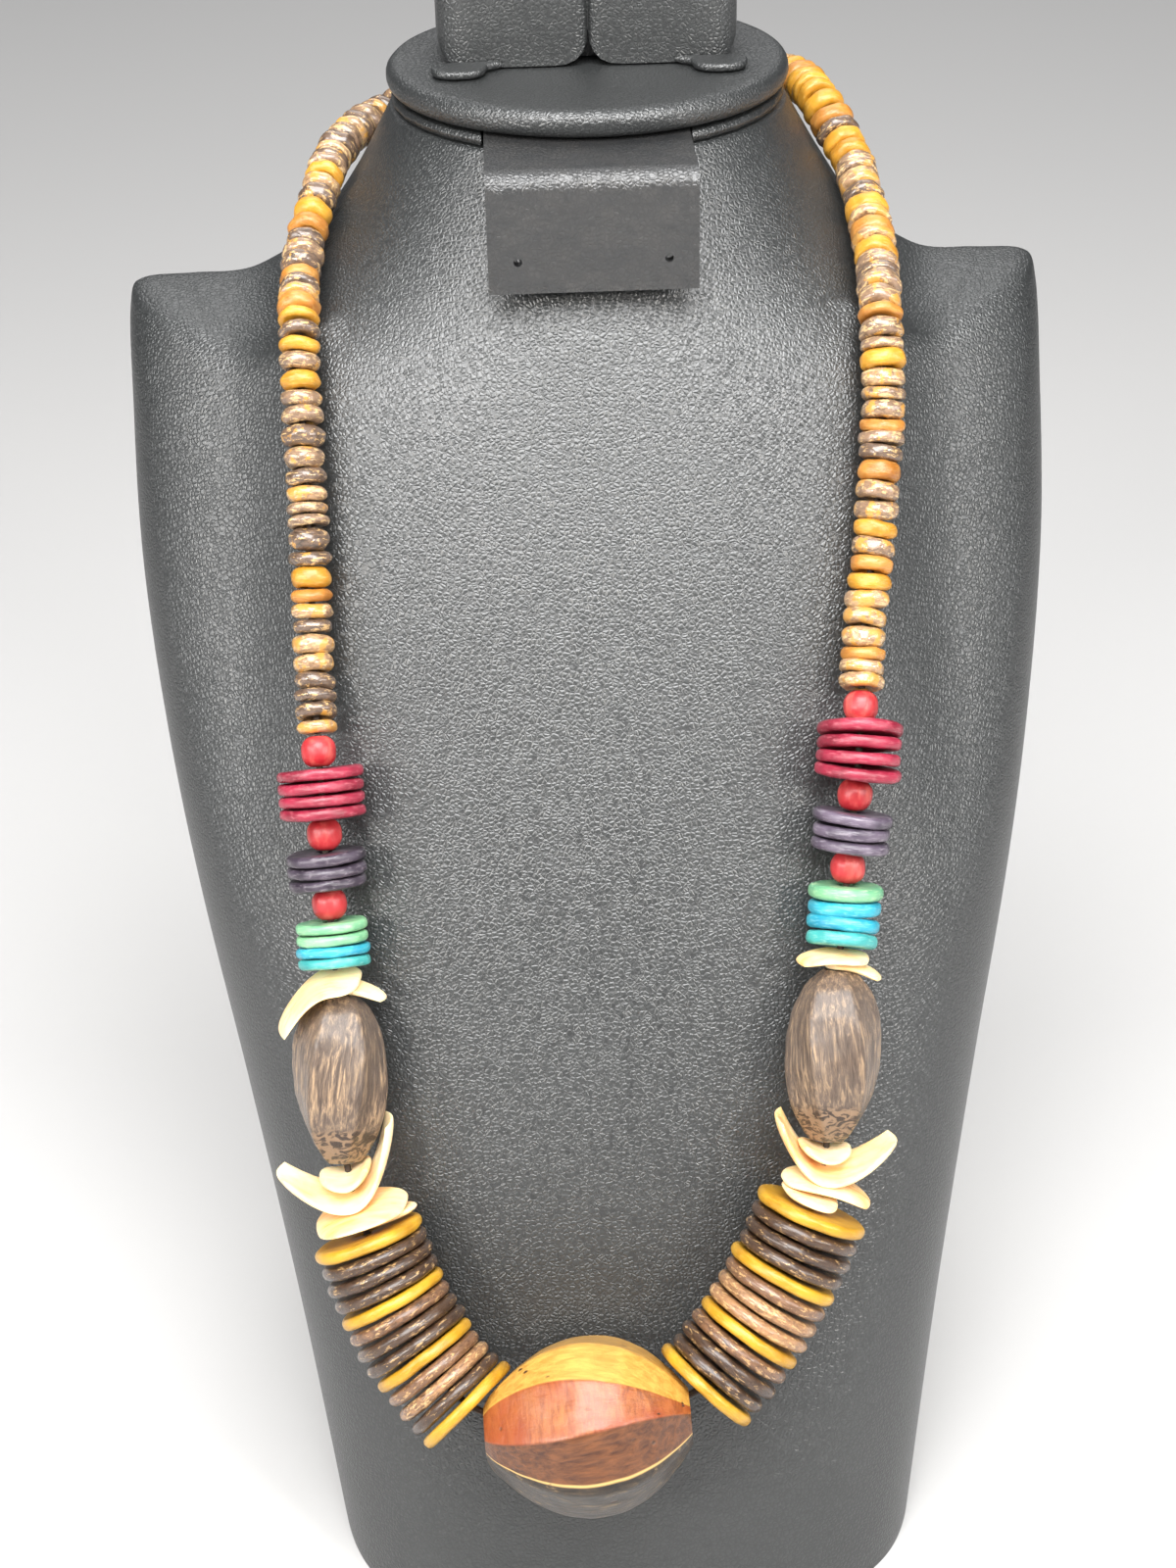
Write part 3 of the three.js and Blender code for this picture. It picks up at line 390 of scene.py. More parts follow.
def coco(name, dark, light, fleck, amount, gloss, dye=0.0, coat=1.0):
    """Polished coconut shell: fibres run round the bead, with golden flecks and traces of yellow dye."""
    m = Nodes(name)
    fibre = m.noise(m.own((1, 1, 2.2)), 700, 6, 0.65, 0.6)
    body = m.ramp(fibre, (0.34, dark), (0.6, light))
    body = m.mix(m.ramp(m.tone(), (0.0, 0.0), (1.0, 0.5)), body, light)
    flecks = m.noise(m.own((1, 1, 3.5)), 520, 5, 0.7, 0.4)
    mask = m.ramp(flecks, (amount, 0.0), (amount + 0.05, 1.0))
    body = m.mix(mask, body, fleck)
    if dye:
        patch = m.noise(m.own((1, 1, 0.8)), 330, 4, 0.6)
        body = m.mix(m.ramp(patch, (0.66 - dye, 0.0), (0.7 - dye, 0.85)), body, (0.56, 0.27, 0.04))
    m.colour(body)
    m.rough(fibre, gloss, gloss + 0.2)
    m.shader.inputs["Coat Weight"].default_value = coat
    m.shader.inputs["Coat Roughness"].default_value = 0.16
    m.bump((fibre, 0.16), (flecks, 0.1))
    return m.mat


def dyed(name, deep, bright, pale, gloss, grain=600, stretch=(1, 1, 5), wear=0.6, pits=0.0):
    """Dyed wood or shell: the colour is thin along the grain."""
    m = Nodes(name)
    v = m.own(stretch)
    streak = m.noise(v, grain, 5, 0.6, 0.3)
    cloud = m.noise(m.own(), 160, 3)
    body = m.ramp(cloud, (0.35, deep), (0.62, bright))
    m.colour(m.mix(m.ramp(streak, (0.52, 0.0), (0.72, wear)), body, pale))
    m.rough(streak, gloss - 0.1, gloss + 0.15)
    m.shader.inputs["Coat Weight"].default_value = 0.25
    m.shader.inputs["Coat Roughness"].default_value = 0.3
    layers = [(streak, 0.1), (cloud, 0.12)]
    if pits:
        layers.append((m.ramp(m.voronoi(v, 800), (0.0, 0.0), (0.22, 1.0)), pits))
    m.bump(*layers)
    return m.mat


LEATHER = leatherette("leatherette")
LEATHER_WORN = leatherette("worn_leatherette", True)
COCO_DARK = coco("coco_dark", (0.03, 0.018, 0.012), (0.15, 0.092, 0.06), (0.58, 0.37, 0.16),
                 amount=0.55, gloss=0.26, dye=0.05)
COCO_MID = coco("coco_mid", (0.06, 0.034, 0.02), (0.28, 0.17, 0.1), (0.62, 0.42, 0.2),
                amount=0.53, gloss=0.26, dye=0.1)
COCO_TAN = coco("coco_tan", (0.13, 0.07, 0.035), (0.44, 0.26, 0.13), (0.66, 0.46, 0.22),
                amount=0.52, gloss=0.3, dye=0.15)
COCO_YELLOW = dyed("coco_yellow", (0.4, 0.17, 0.012), (0.6, 0.29, 0.025), (0.66, 0.42, 0.12),
                   gloss=0.34, pits=0.07)
COCO_ORANGE = dyed("coco_orange", (0.33, 0.12, 0.016), (0.52, 0.22, 0.04), (0.6, 0.36, 0.11),
                   gloss=0.34, pits=0.07)
MUSTARD = dyed("mustard_disc", (0.38, 0.18, 0.008), (0.56, 0.3, 0.016), (0.62, 0.38, 0.06),
               gloss=0.36, pits=0.06)
DISC_DARK = coco("coco_disc", (0.016, 0.008, 0.005), (0.07, 0.036, 0.019), (0.42, 0.26, 0.11),
                 amount=0.57, gloss=0.24, coat=0.5)
DISC_STRIPED = coco("coco_disc_striped", (0.07, 0.032, 0.017), (0.38, 0.2, 0.09), (0.6, 0.38, 0.17),
                    amount=0.54, gloss=0.3, coat=0.5)
DISC_RED_BROWN = coco("coco_disc_red", (0.04, 0.02, 0.012), (0.2, 0.1, 0.05), (0.5, 0.3, 0.13),
                      amount=0.56, gloss=0.26, coat=0.5)
RED = dyed("red_wood", (0.33, 0.01, 0.016), (0.52, 0.035, 0.04), (0.64, 0.14, 0.11),
            gloss=0.4, grain=420, stretch=(1, 1, 0.22), wear=0.7)
BURGUNDY = dyed("burgundy_disc", (0.17, 0.008, 0.022), (0.33, 0.02, 0.05), (0.5, 0.13, 0.16),
                 gloss=0.36, grain=700, stretch=(1, 1, 3))
PURPLE = dyed("purple_disc", (0.018, 0.012, 0.02), (0.06, 0.045, 0.065), (0.27, 0.23, 0.26),
               gloss=0.32, grain=700, stretch=(1, 1, 3))
PURPLE_PALE = dyed("purple_disc_pale", (0.035, 0.026, 0.042), (0.13, 0.1, 0.14), (0.34, 0.3, 0.34),
                    gloss=0.34)
TURQUOISE = dyed("turquoise_disc", (0.012, 0.22, 0.33), (0.03, 0.37, 0.47), (0.25, 0.58, 0.6), gloss=0.38)
TEAL = dyed("teal_disc", (0.03, 0.26, 0.26), (0.07, 0.44, 0.4), (0.28, 0.6, 0.5), gloss=0.38)
SEA_GREEN = dyed("green_disc", (0.1, 0.31, 0.17), (0.24, 0.52, 0.27), (0.45, 0.64, 0.37), gloss=0.38)


def split(m):
    """The shape's own x, y and z as three numbers."""
    n = m.node("ShaderNodeSeparateXYZ")
    m.link(m.own(shift=False), n.inputs["Vector"])
    return n.outputs["X"], n.outputs["Y"], n.outputs["Z"]


def above(m, value, level, soft):
    """0 below the level, 1 above it, with a soft step between."""
    n = m.node("ShaderNodeMapRange", clamp=True)
    n.inputs["From Min"].default_value = level - soft
    n.inputs["From Max"].default_value = level + soft
    m.link(value, n.inputs["Value"])
    return n.outputs["Result"]


def carved_material():
    """Palm wood: tan streaks run lengthwise, and the lower end shows squiggly end grain."""
    m = Nodes("carved_wood")
    streak = m.noise(m.own((7, 7, 0.7)), 210, 8, 0.72, 0.5)
    fine = m.noise(m.own((14, 14, 1.2)), 420, 5, 0.6)
    base = m.ramp(streak, (0.36, (0.045, 0.028, 0.02)), (0.5, (0.14, 0.095, 0.066)),
                  (0.64, (0.46, 0.31, 0.18)))
    cloud = m.noise(m.own(), 100, 4)
    base = m.mix(m.ramp(cloud, (0.4, 0.55), (0.6, 0.0)), base, (0.09, 0.066, 0.052))
    wavy = m.noise(m.own((1, 1, 1.6)), 480, 2, 0.4, 1.6)
    ends = m.ramp(wavy, (0.44, (0.035, 0.02, 0.013)), (0.55, (0.23, 0.145, 0.085)))
    z = split(m)[2]
    low = above(m, m.math("ADD", z, m.math("MULTIPLY", cloud, 0.006)), -0.0056, 0.0007)
    m.colour(m.mix(low, ends, base))
    m.rough(fine, 0.28, 0.5)
    m.shader.inputs["Coat Weight"].default_value = 0.35
    m.shader.inputs["Coat Roughness"].default_value = 0.25
    m.bump((streak, 0.28), (fine, 0.08))
    return m.mat


def shell_material():
    """Ivory shell with warmer patches and faint growth lines."""
    m = Nodes("shell")
    v = m.own()
    cloud = m.noise(v, 110, 3)
    bands = m.noise(m.own((0.5, 3, 1)), 260, 4)
    base = m.ramp(cloud, (0.35, (0.86, 0.58, 0.25)), (0.62, (0.92, 0.73, 0.42)))
    warm = m.mix(m.ramp(m.noise(v, 75, 2), (0.52, 0.0), (0.68, 0.85)), base, (0.8, 0.4, 0.13))
    m.colour(m.mix(m.ramp(bands, (0.45, 0.0), (0.7, 0.35)), warm, (0.94, 0.84, 0.62)))
    m.rough(bands, 0.2, 0.38)
    m.shader.inputs["Subsurface Weight"].default_value = 0.2
    m.shader.inputs["Subsurface Radius"].default_value = (0.002, 0.001, 0.0005)
    m.shader.inputs["Subsurface Scale"].default_value = 0.5
    m.bump((bands, 0.08), (cloud, 0.25))
    return m.mat


def centre_material():
    """Woods glued in wedges round the bore: pale yellow, orange-brown, a thin pale line, and dark."""
    m = Nodes("laminated_wood")
    up, out, along = split(m)
    turn = m.math("ARCTAN2", out, up)
    grain = m.noise(m.own((4, 4, 0.7), False), 240, 7, 0.65, 0.4)
    cross = m.noise(m.own((1.2, 1.2, 5), False), 200, 7, 0.7, 0.5)
    cloud = m.noise(m.own(shift=False), 70, 4)
    pale = m.ramp(grain, (0.32, (0.4, 0.19, 0.03)), (0.62, (0.62, 0.35, 0.075)))
    orange = m.ramp(cross, (0.34, (0.17, 0.045, 0.01)), (0.64, (0.39, 0.125, 0.032)))
    orange = m.mix(m.ramp(cloud, (0.42, 0.0), (0.6, 0.75)), orange, (0.28, 0.05, 0.014))
    brown = m.ramp(grain, (0.34, (0.05, 0.016, 0.006)), (0.64, (0.16, 0.056, 0.018)))
    dark = m.ramp(grain, (0.36, (0.01, 0.007, 0.005)), (0.56, (0.04, 0.026, 0.015)),
                  (0.72, (0.22, 0.14, 0.06)))

    def past(degrees, soft=0.7):
        return above(m, turn, math.radians(degrees), math.radians(soft))

    colour = m.mix(past(21), pale, orange)
    colour = m.mix(past(55, 1.0), colour, brown)
    colour = m.mix(past(89), colour, (0.62, 0.4, 0.14))
    colour = m.mix(past(90.6), colour, dark)
    colour = m.mix(past(-98), dark, colour)
    spots = m.ramp(m.voronoi(m.own((1, 1, 0.5), False), 420), (0.08, 1.0), (0.18, 0.0))
    here = m.ramp(m.noise(m.own(shift=False), 150, 2), (0.47, 0.0), (0.53, 1.0))
    pits = m.math("MULTIPLY", spots, here)
    m.colour(m.mix(pits, colour, (0.05, 0.022, 0.01)))
    m.rough(grain, 0.26, 0.46)
    m.shader.inputs["Coat Weight"].default_value = 0.3
    m.shader.inputs["Coat Roughness"].default_value = 0.25
    m.bump((grain, 0.14), (cross, 0.06), (m.math("SUBTRACT", 1.0, pits), 0.12))
    return m.mat


def thread_material():
    """Dark brown thread."""
    m = Nodes("thread")
    twist = m.noise(m.place(), 1500, 3)
    m.colour(m.ramp(twist, (0.3, (0.02, 0.012, 0.008)), (0.7, (0.06, 0.035, 0.02))))
    m.rough(twist, 0.6, 0.8)
    m.bump((twist, 0.1))
    return m.mat


CARVED = carved_material()
SHELL = shell_material()
CENTRE = centre_material()
THREAD = thread_material()

# bust

LEVELS = np.array([
    (0, 0.659, -0.529, 0.471, 4.0, 0, 0),
    (0.163, 0.734, -0.457, 0.5, 3.6, 0, 0),
    (0.326, 0.827, -0.364, 0.529, 3.2, 0, 0),
    (0.468, 0.914, -0.271, 0.55, 2.9, 0, 0),
    (0.591, 0.968, -0.186, 0.571, 2.65, 0, 0),
    (0.713, 1, -0.1, 0.593, 2.5, 0, 0),
    (0.815, 1, -0.021, 0.614, 2.3, 0, 0),
    (0.866, 0.995, 0.02, 0.621, 1.95, 0, 0),
    (0.881, 0.97, 0.033, 0.625, 1.85, 0.05, 0),
    (0.884, 0.86, 0.035, 0.627, 1.9, 0.2, 0),
    (0.888, 0.725, 0.038, 0.629, 2.0, 0.4, 0),
    (0.9155, 0.6, 0.058, 0.632, 2.0, 0.75, 0.1),
    (0.953, 0.511, 0.088, 0.638, 2.0, 1, 0.5),
    (1, 0.428, 0.125, 0.639, 2.0, 1, 1),
])


def torso_level(at):
    """The row of LEVELS at a place between them, on a smooth curve."""
    last = len(LEVELS) - 1
    i = min(int(at), last - 1)
    t = at - i
    before, low, high, after = (LEVELS[min(max(k, 0), last)] for k in (i - 1, i, i + 1, i + 2))
    return cubic(t, low, high, (high - before) / 2, (after - low) / 2)


def rise(value, low, high):
    """0 below low, 1 above high, and a smooth step between."""
    share = np.clip((value - low) / (high - low), 0, 1)
    return share * share * (3 - 2 * share)


SHOULDER_EDGE = 47.0        # depth of the shoulders' top edge, in mm
SHOULDER_ROUND = 27.0       # run in front of that edge over which they round over by SHOULDER_FRONT
SHOULDER_FRONT = 10.0
SHOULDER_FALL = 0.8         # fall behind that edge, as a share of the run


def shoulder_drop(x, y, height):
    """The shoulders round over in front of their top edge and fall away behind it."""
    out = rise(np.abs(x), SHOULDER_HALF * 0.52, SHOULDER_HALF * 0.78)
    up = rise(height, 0.45, 0.87)
    front = SHOULDER_FRONT * (np.maximum(SHOULDER_EDGE - y, 0) / SHOULDER_ROUND) ** 1.6
    return out * up * (front + SHOULDER_FALL * np.maximum(y - SHOULDER_EDGE, 0))


THROAT_FULL, THROAT_END = 42.0, 50.0      # half widths of the softened part and of its fading edge
THROAT_HEIGHTS = (180, 243)               # heights between which the front of the neck is read
THROAT_FADE_IN, THROAT_FADE_OUT = (186, 198), (230, 240)
THROAT_REACH = 5.0                        # spread of the softening, in mm of height
THROAT_BACK = 45                          # depth behind which nothing is softened


def soften_throat(rings):
    """Lets the front of the neck run into the chest without a crease, inside the two strands."""
    front = rings[:, rings[0, :, 1] < np.mean(rings[0, :, 1])]
    across = np.linspace(-THROAT_END, THROAT_END, 101)
    levels = np.linspace(*THROAT_HEIGHTS, 190)
    step = levels[1] - levels[0]
    near = np.arange(-60, 61)
    kernel = np.exp(-0.5 * (near * step / THROAT_REACH) ** 2)
    kernel /= kernel.sum()
    depth, height = [], []
    for row in front:
        row = row[np.argsort(row[:, 0])]
        depth.append(np.interp(across, row[:, 0], row[:, 1]))
        height.append(np.interp(across, row[:, 0], row[:, 2]))
    depth, height = np.array(depth), np.array(height)
    smooth = []
    for k in range(len(across)):
        line = np.interp(levels, height[:, k], depth[:, k])
        straight = line[0] + (line[-1] - line[0]) * (levels - levels[0]) / (levels[-1] - levels[0])
        rest = np.pad(line - straight, len(near) // 2)
        smooth.append(straight + np.convolve(rest, kernel, "valid"))
    smooth = np.array(smooth).T
    for ring in rings:
        for p in ring:
            if abs(p[0]) < THROAT_END and levels[0] < p[2] < levels[-1] and p[1] < THROAT_BACK:
                at = (p[2] - levels[0]) / step
                i = min(int(at), len(levels) - 2)
                low, high = np.interp(p[0], across, smooth[i]), np.interp(p[0], across, smooth[i + 1])
                share = 1 - rise(abs(p[0]), THROAT_FULL, THROAT_END)
                share = share * rise(p[2], *THROAT_FADE_IN) * (1 - rise(p[2], *THROAT_FADE_OUT))
                p[1] += (low + (high - low) * (at - i) - p[1]) * share


def torso():
    """The covered body: closed rings of rounded oblongs from the foot up to the neck."""
    columns = 260
    angles = np.arange(columns) / columns * 2 * math.pi
    c, s = np.cos(angles), np.sin(angles)
    rings = []
    for at in np.linspace(0, len(LEVELS) - 1, 170):
        height, width, front, back, square, offset, lean = torso_level(at)
        x = np.sign(c) * np.abs(c) ** (2 / square) * width * SHOULDER_HALF + offset * NECK_OFFSET
        f, b = front * BUST_DEPTH, back * BUST_DEPTH
        y = (f + b) / 2 + np.sign(s) * np.abs(s) ** (2 / square) * (b - f) / 2
        z = height * NECK_TOP + lean * math.tan(math.radians(TOP_LEAN)) * (y - NECK_CENTRE_Y)
        z -= shoulder_drop(x, y, height)
        rings.append(np.stack([x, y, z], 1))
    rings = np.array(rings)
    soften_throat(rings)
    verts = rings.reshape(-1, 3)
    faces = grid_faces(len(rings), columns)
    faces.append(list(range(columns))[::-1])
    faces.append(list(range(len(verts) - columns, len(verts))))
    made = Builder()
    made.add(verts, faces)
    made.build("bust", [LEATHER], ["bust_torso"])


torso()


def copy_with_edges(node, name, material, width, segments=3):
    """The node's own shape with its sharp edges rounded, as stitched leatherette has them."""
    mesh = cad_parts[node].data.copy()
    mesh.name = name
    shape = bmesh.new()
    shape.from_mesh(mesh)
    bmesh.ops.remove_doubles(shape, verts=shape.verts, dist=0.00001)
    bmesh.ops.dissolve_limit(shape, angle_limit=math.radians(1), verts=shape.verts, edges=shape.edges)
    sharp = [e for e in shape.edges if e.is_manifold and e.calc_face_angle(0) > math.radians(50)]
    bmesh.ops.bevel(shape, geom=sharp, offset=width * MM, segments=segments, profile=0.5,
                    affect="EDGES", clamp_overlap=True)
    shape.to_mesh(mesh)
    shape.free()
    for polygon in mesh.polygons:
        polygon.use_smooth = True
    mesh.set_sharp_from_angle(angle=math.radians(35))
    mesh.materials.clear()
    mesh.materials.append(material)
    obj = bpy.data.objects.new(name, mesh)
    bpy.context.collection.objects.link(obj)
    flat = obj.modifiers.new("flat_faces", "WEIGHTED_NORMAL")
    flat.keep_sharp = True
    flat.weight = 100
    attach(obj, "root")
    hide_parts(node)


copy_with_edges("earring_flap", "flap", LEATHER_WORN, width=0.35)
copy_with_edges("display_post", "post", LEATHER, width=1.6, segments=5)
copy_with_edges("post_tab_left", "tab_left", LEATHER, width=0.55)
copy_with_edges("post_tab_right", "tab_right", LEATHER, width=0.55)

# The middle of the neck's top and its axes, leaning forward.
tilt = math.radians(TOP_LEAN)
TOP = (np.array([NECK_OFFSET, NECK_CENTRE_Y, NECK_TOP]),
       np.array([[1, 0, 0], [0, math.cos(tilt), math.sin(tilt)], [0, -math.sin(tilt), math.cos(tilt)]]))


def plate(radius, thick, bottom, power):
    """A round cushion-edged plate on the neck."""
    sides = 160
    half = thick / 2
    profile = [(0.01, -half)] + disc_profile(radius, half, 0.5, power, 16) + [(0.01, half)]
    verts = []
    for r, z in profile:
        for i in range(sides):
            a = i / sides * 2 * math.pi
            w = 0.12 * noise.noise(Vector((math.cos(a) * 3, math.sin(a) * 3, z)))
            out = r + w * (r > 5)
            verts.append((math.cos(a) * out, math.sin(a) * out, z + bottom + half))
    faces = grid_faces(len(profile), sides)
    faces.append(list(range(sides))[::-1])
    faces.append(list(range(len(verts) - sides, len(verts))))
    return verts, faces


made = Builder()
made.add(*plate(CAP_RADIUS, CAP_THICK, bottom=PIECE_GAP * 2 + RING_THICK, power=2.3), TOP)
made.build("cap", [LEATHER], ["neck_cap"])
copy_with_edges("neck_ring", "ring", LEATHER, width=0.4)

# small coco beads

# Distances from the centre bead, in mm along each strand, of the beads that stand out by colour.
STANDOUT = {
    -1: [(262, "tan"), (255, "yellow"), (243.5, "yellow"), (240.5, "orange"), (225.5, "orange"),
         (218.5, "orange"), (215, "yellow"), (211, "yellow"), (203, "yellow"), (186, "tan"),
         (169.5, "yellow"), (166.5, "orange"), (163.5, "tan"), (157, "tan"), (145, "tan")],
    1: [(281, "yellow"), (278, "orange"), (275, "yellow"), (272, "yellow"), (269, "yellow"),
        (265.5, "yellow"), (262, "orange"), (259, "yellow"), (256, "yellow"), (240, "yellow"),
        (237, "tan"), (233.5, "orange"), (229.5, "yellow"), (212.8, "orange"), (205.5, "yellow"),
        (201.8, "tan"), (193.8, "orange"), (185.7, "orange"), (177, "yellow"), (171, "orange"),
        (168, "yellow"), (161, "tan"), (153, "orange"), (149, "tan")],
}
KINDS = ["dark", "mid", "tan", "yellow", "orange"]


def coco_beads(strand, start, pitch):
    """The small uneven discs of one side, up to the middle of the back."""
    end = LOOP / 2 - PIECE_GAP / 2
    count = round((end - start) / pitch)
    rng = random.Random(40 + strand)
    weights = np.array([1 + 0.34 * (rng.random() * 2 - 1) for _ in range(count)])
    edges = start + np.concatenate([[0], np.cumsum(weights)]) / weights.sum() * (end - start)
    made = Builder()
    special = {}
    for distance, kind in STANDOUT[strand]:
        special[int(np.argmin(np.abs((edges[:-1] + edges[1:]) / 2 - distance)))] = kind
    for i in range(count):
        low, high = edges[i], edges[i + 1]
        gap = rng.uniform(0.05, 0.35) if strand < 0 else rng.uniform(0.02, 0.2)
        half = (high - low - gap) / 2
        kind = special.get(i)
        if kind is None:
            pick = rng.random()
            share = (0.55, 0.9) if strand < 0 else (0.3, 0.72)
            kind = "dark" if pick < share[0] else "mid" if pick < share[1] else "tan"
        radius = COCO_RADIUS * (rng.uniform(0.86, 0.95) if strand < 0 else rng.uniform(0.93, 1.0))
        power = 2.0 if strand < 0 else 2.7
        profile = disc_profile(radius, half, 0.7, power, 12, dish=0.25)
        shape, faces = lathe(profile, 36, bump=0.34, scale=0.5, oval=0.02, seed=i * 1.37 + strand,
                             wave=rng.uniform(-0.03, 0.03))
        point, axes = bead_frame(strand, (low + high) / 2)
        tip = Matrix.Rotation(rng.uniform(-0.08, 0.08), 3, "X")
        tip = tip @ Matrix.Rotation(rng.uniform(-0.11, 0.11), 3, "Y")
        made.add(np.array(shape) @ np.array(tip).T, faces, (point, axes), KINDS.index(kind))
    # the thread shows where beads stand apart
    begin, steps = start + 0.2, 160
    places = [bead_frame(strand, begin + (end - begin) * i / (steps - 1)) for i in range(steps)]
    made.add(*thread_tube(places), mat=len(KINDS))
    name = STRANDS[strand]["name"]
    mats = [COCO_DARK, COCO_MID, COCO_TAN, COCO_YELLOW, COCO_ORANGE, THREAD]
    made.build(f"coco_beads_{name}", mats, [f"coco_string_{name}"])


# discs, round beads

# Lean of each disc about the line of sight, in degrees, from the lowest up.
LEANS = {
    ("turquoise", -1): (-2, 1, 2, 4), ("purple", -1): (8, 6, 9), ("burgundy", -1): (2, 4, 3, 6),
    ("turquoise", 1): (4, -2, 6, 3), ("purple", 1): (-4, -3, -8), ("burgundy", 1): (-4, -1, 2, -1),
}
STACK_COLOURS = {
    ("turquoise", -1): (TEAL, TURQUOISE, SEA_GREEN, SEA_GREEN),
    ("turquoise", 1): (TEAL, TURQUOISE, TURQUOISE, SEA_GREEN),
    ("purple", -1): (PURPLE,) * 3, ("purple", 1): (PURPLE_PALE,) * 3,
    ("burgundy", -1): (BURGUNDY,) * 4, ("burgundy", 1): (BURGUNDY,) * 4,
}


def disc_stack(kind, strand, start, pitch, radius):
    """One stack of dyed discs, each with its own lean."""
    leans = LEANS[kind, strand]
    made = Builder()
    for i, angle in enumerate(leans):
        half = pitch / 2 - 0.16
        profile = disc_profile(radius * random.uniform(0.96, 1.0), half, 1.3, 2.6, 12, dish=0.15)
        shape, faces = lathe(profile, 64, bump=0.22, scale=0.35, oval=0.01, seed=start + i * 3.1,
                             wave=0.008)
        point, axes = facing(strand, start + (i + 0.5) * pitch)
        turn = np.array(Matrix.Rotation(math.radians(-angle * 0.35), 3, "Y"))
        made.add(np.array(shape) @ turn.T, faces, (point, axes), i)
    name = STRANDS[strand]["name"]
    made.build(f"{kind}_discs_{name}_shown", STACK_COLOURS[kind, strand], [f"{kind}_discs_{name}"])


def red_beads(strand, middles, start, end):
    """The round red beads of one side, and the thread from the first stack to the last bead."""
    made = Builder()
    half = (ROUND_LENGTH - PIECE_GAP) / 2
    for i, middle in enumerate(middles):
        profile = []
        for k in range(17):
            a = -1 + 2 * k / 16
            r = ROUND_RADIUS * (1 - abs(a) ** 2.5 * 0.72) ** 0.5
            profile.append((r, half * a))
        profile = [(0.7, -half)] + profile + [(0.7, half)]
        shape, faces = lathe(profile, 40, bump=0.1, scale=0.6, seed=middle)
        made.add(shape, faces, facing(strand, middle), 0)
    steps = 40
    places = [facing(strand, start + (end - start) * i / (steps - 1)) for i in range(steps)]
    made.add(*thread_tube(places), mat=1)
    name = STRANDS[strand]["name"]
    made.build(f"red_beads_{name}", [RED, THREAD], [f"red_bead_string_{name}"])


def big_discs(strand, start, pitch):
    """The large discs of one side, numbered from the top down."""
    name = STRANDS[strand]["name"]
    run = BIG_COUNT * pitch

    def direction(a, b):
        d = on_string(arc_of(strand, b)) - on_string(arc_of(strand, a))
        return d / np.linalg.norm(d)

    lowest, highest = direction(start, start + run * 0.3), direction(start + run * 0.75, start + run)
    striped = {-1: (11,), 1: (7, 8)}[strand]
    reddish = (6, 10)
    for i in range(BIG_COUNT):
        order = BIG_COUNT - i
        share = i / (BIG_COUNT - 1)
        up = lowest * (1 - share) + highest * share
        place = basis(on_string(arc_of(strand, start + (i + 0.5) * pitch)), up, BACKWARD)
        yellow = order in (1, 5, 9, 13)
        half = (BIG_THICK + (0.25 if yellow else 0.45)) / 2
        radius = BIG_RADIUS * random.uniform(0.965, 1.0)
        profile = disc_profile(radius, half, 1.1, 2.4 if yellow else 2.1, 14, dish=0.2)
        shape, faces = lathe(profile, 96, bump=0.25, scale=0.25, oval=0.008, seed=order * 2.3 + strand,
                             wave=random.uniform(-0.004, 0.004))
        made = Builder()
        made.add(shape, faces, place)
        mat = MUSTARD if yellow else DISC_DARK
        if order in striped:
            mat = DISC_STRIPED
        elif order in reddish:
            mat = DISC_RED_BROWN
        made.build(f"disc_{name}_{order:02d}", [mat], [f"big_disc_{name}_{order:02d}"])


# carved beads

CARVED_PROFILE = [(-1, 0.38), (-0.88, 0.56), (-0.62, 0.82), (-0.25, 0.98), (0.1, 1), (0.45, 0.94),
                  (0.75, 0.75), (0.91, 0.52), (1, 0.34)]
CARVED_CORNERS = [(corner, CARVED_TWIST) for corner in (-34, 30, 88, 140, 200, 262)]
CENTRE_PROFILE = [(-1, 0.3), (-0.93, 0.43), (-0.8, 0.58), (-0.6, 0.76), (-0.32, 0.93), (0, 1),
                  (0.34, 0.94), (0.62, 0.77), (0.82, 0.56), (0.94, 0.4), (1, 0.3)]
CENTRE_CORNERS = [(-174, 0), (-140, 0), (-94, 0), (-50, 0), (-8, 12), (34, 12), (80, 12),
                  (111, CENTRE_TWIST), (145, -CENTRE_TWIST)]


def smooth_profile(rows, count):
    """The rows of a profile joined by a curve that passes through them."""
    rows = np.array(rows, float)
    t = np.concatenate([[0], np.cumsum(np.linalg.norm(np.diff(rows, axis=0), axis=1))])
    out = []
    for u in np.linspace(0, t[-1], count):
        i = min(int(np.searchsorted(t, u, "right")) - 1, len(rows) - 2)
        f = (u - t[i]) / (t[i + 1] - t[i])
        p0, p1, p2, p3 = rows[max(i - 1, 0)], rows[i], rows[i + 1], rows[min(i + 2, len(rows) - 1)]
        out.append(cubic(f, p1, p2, (p2 - p0) / 2, (p3 - p1) / 2))
    return out


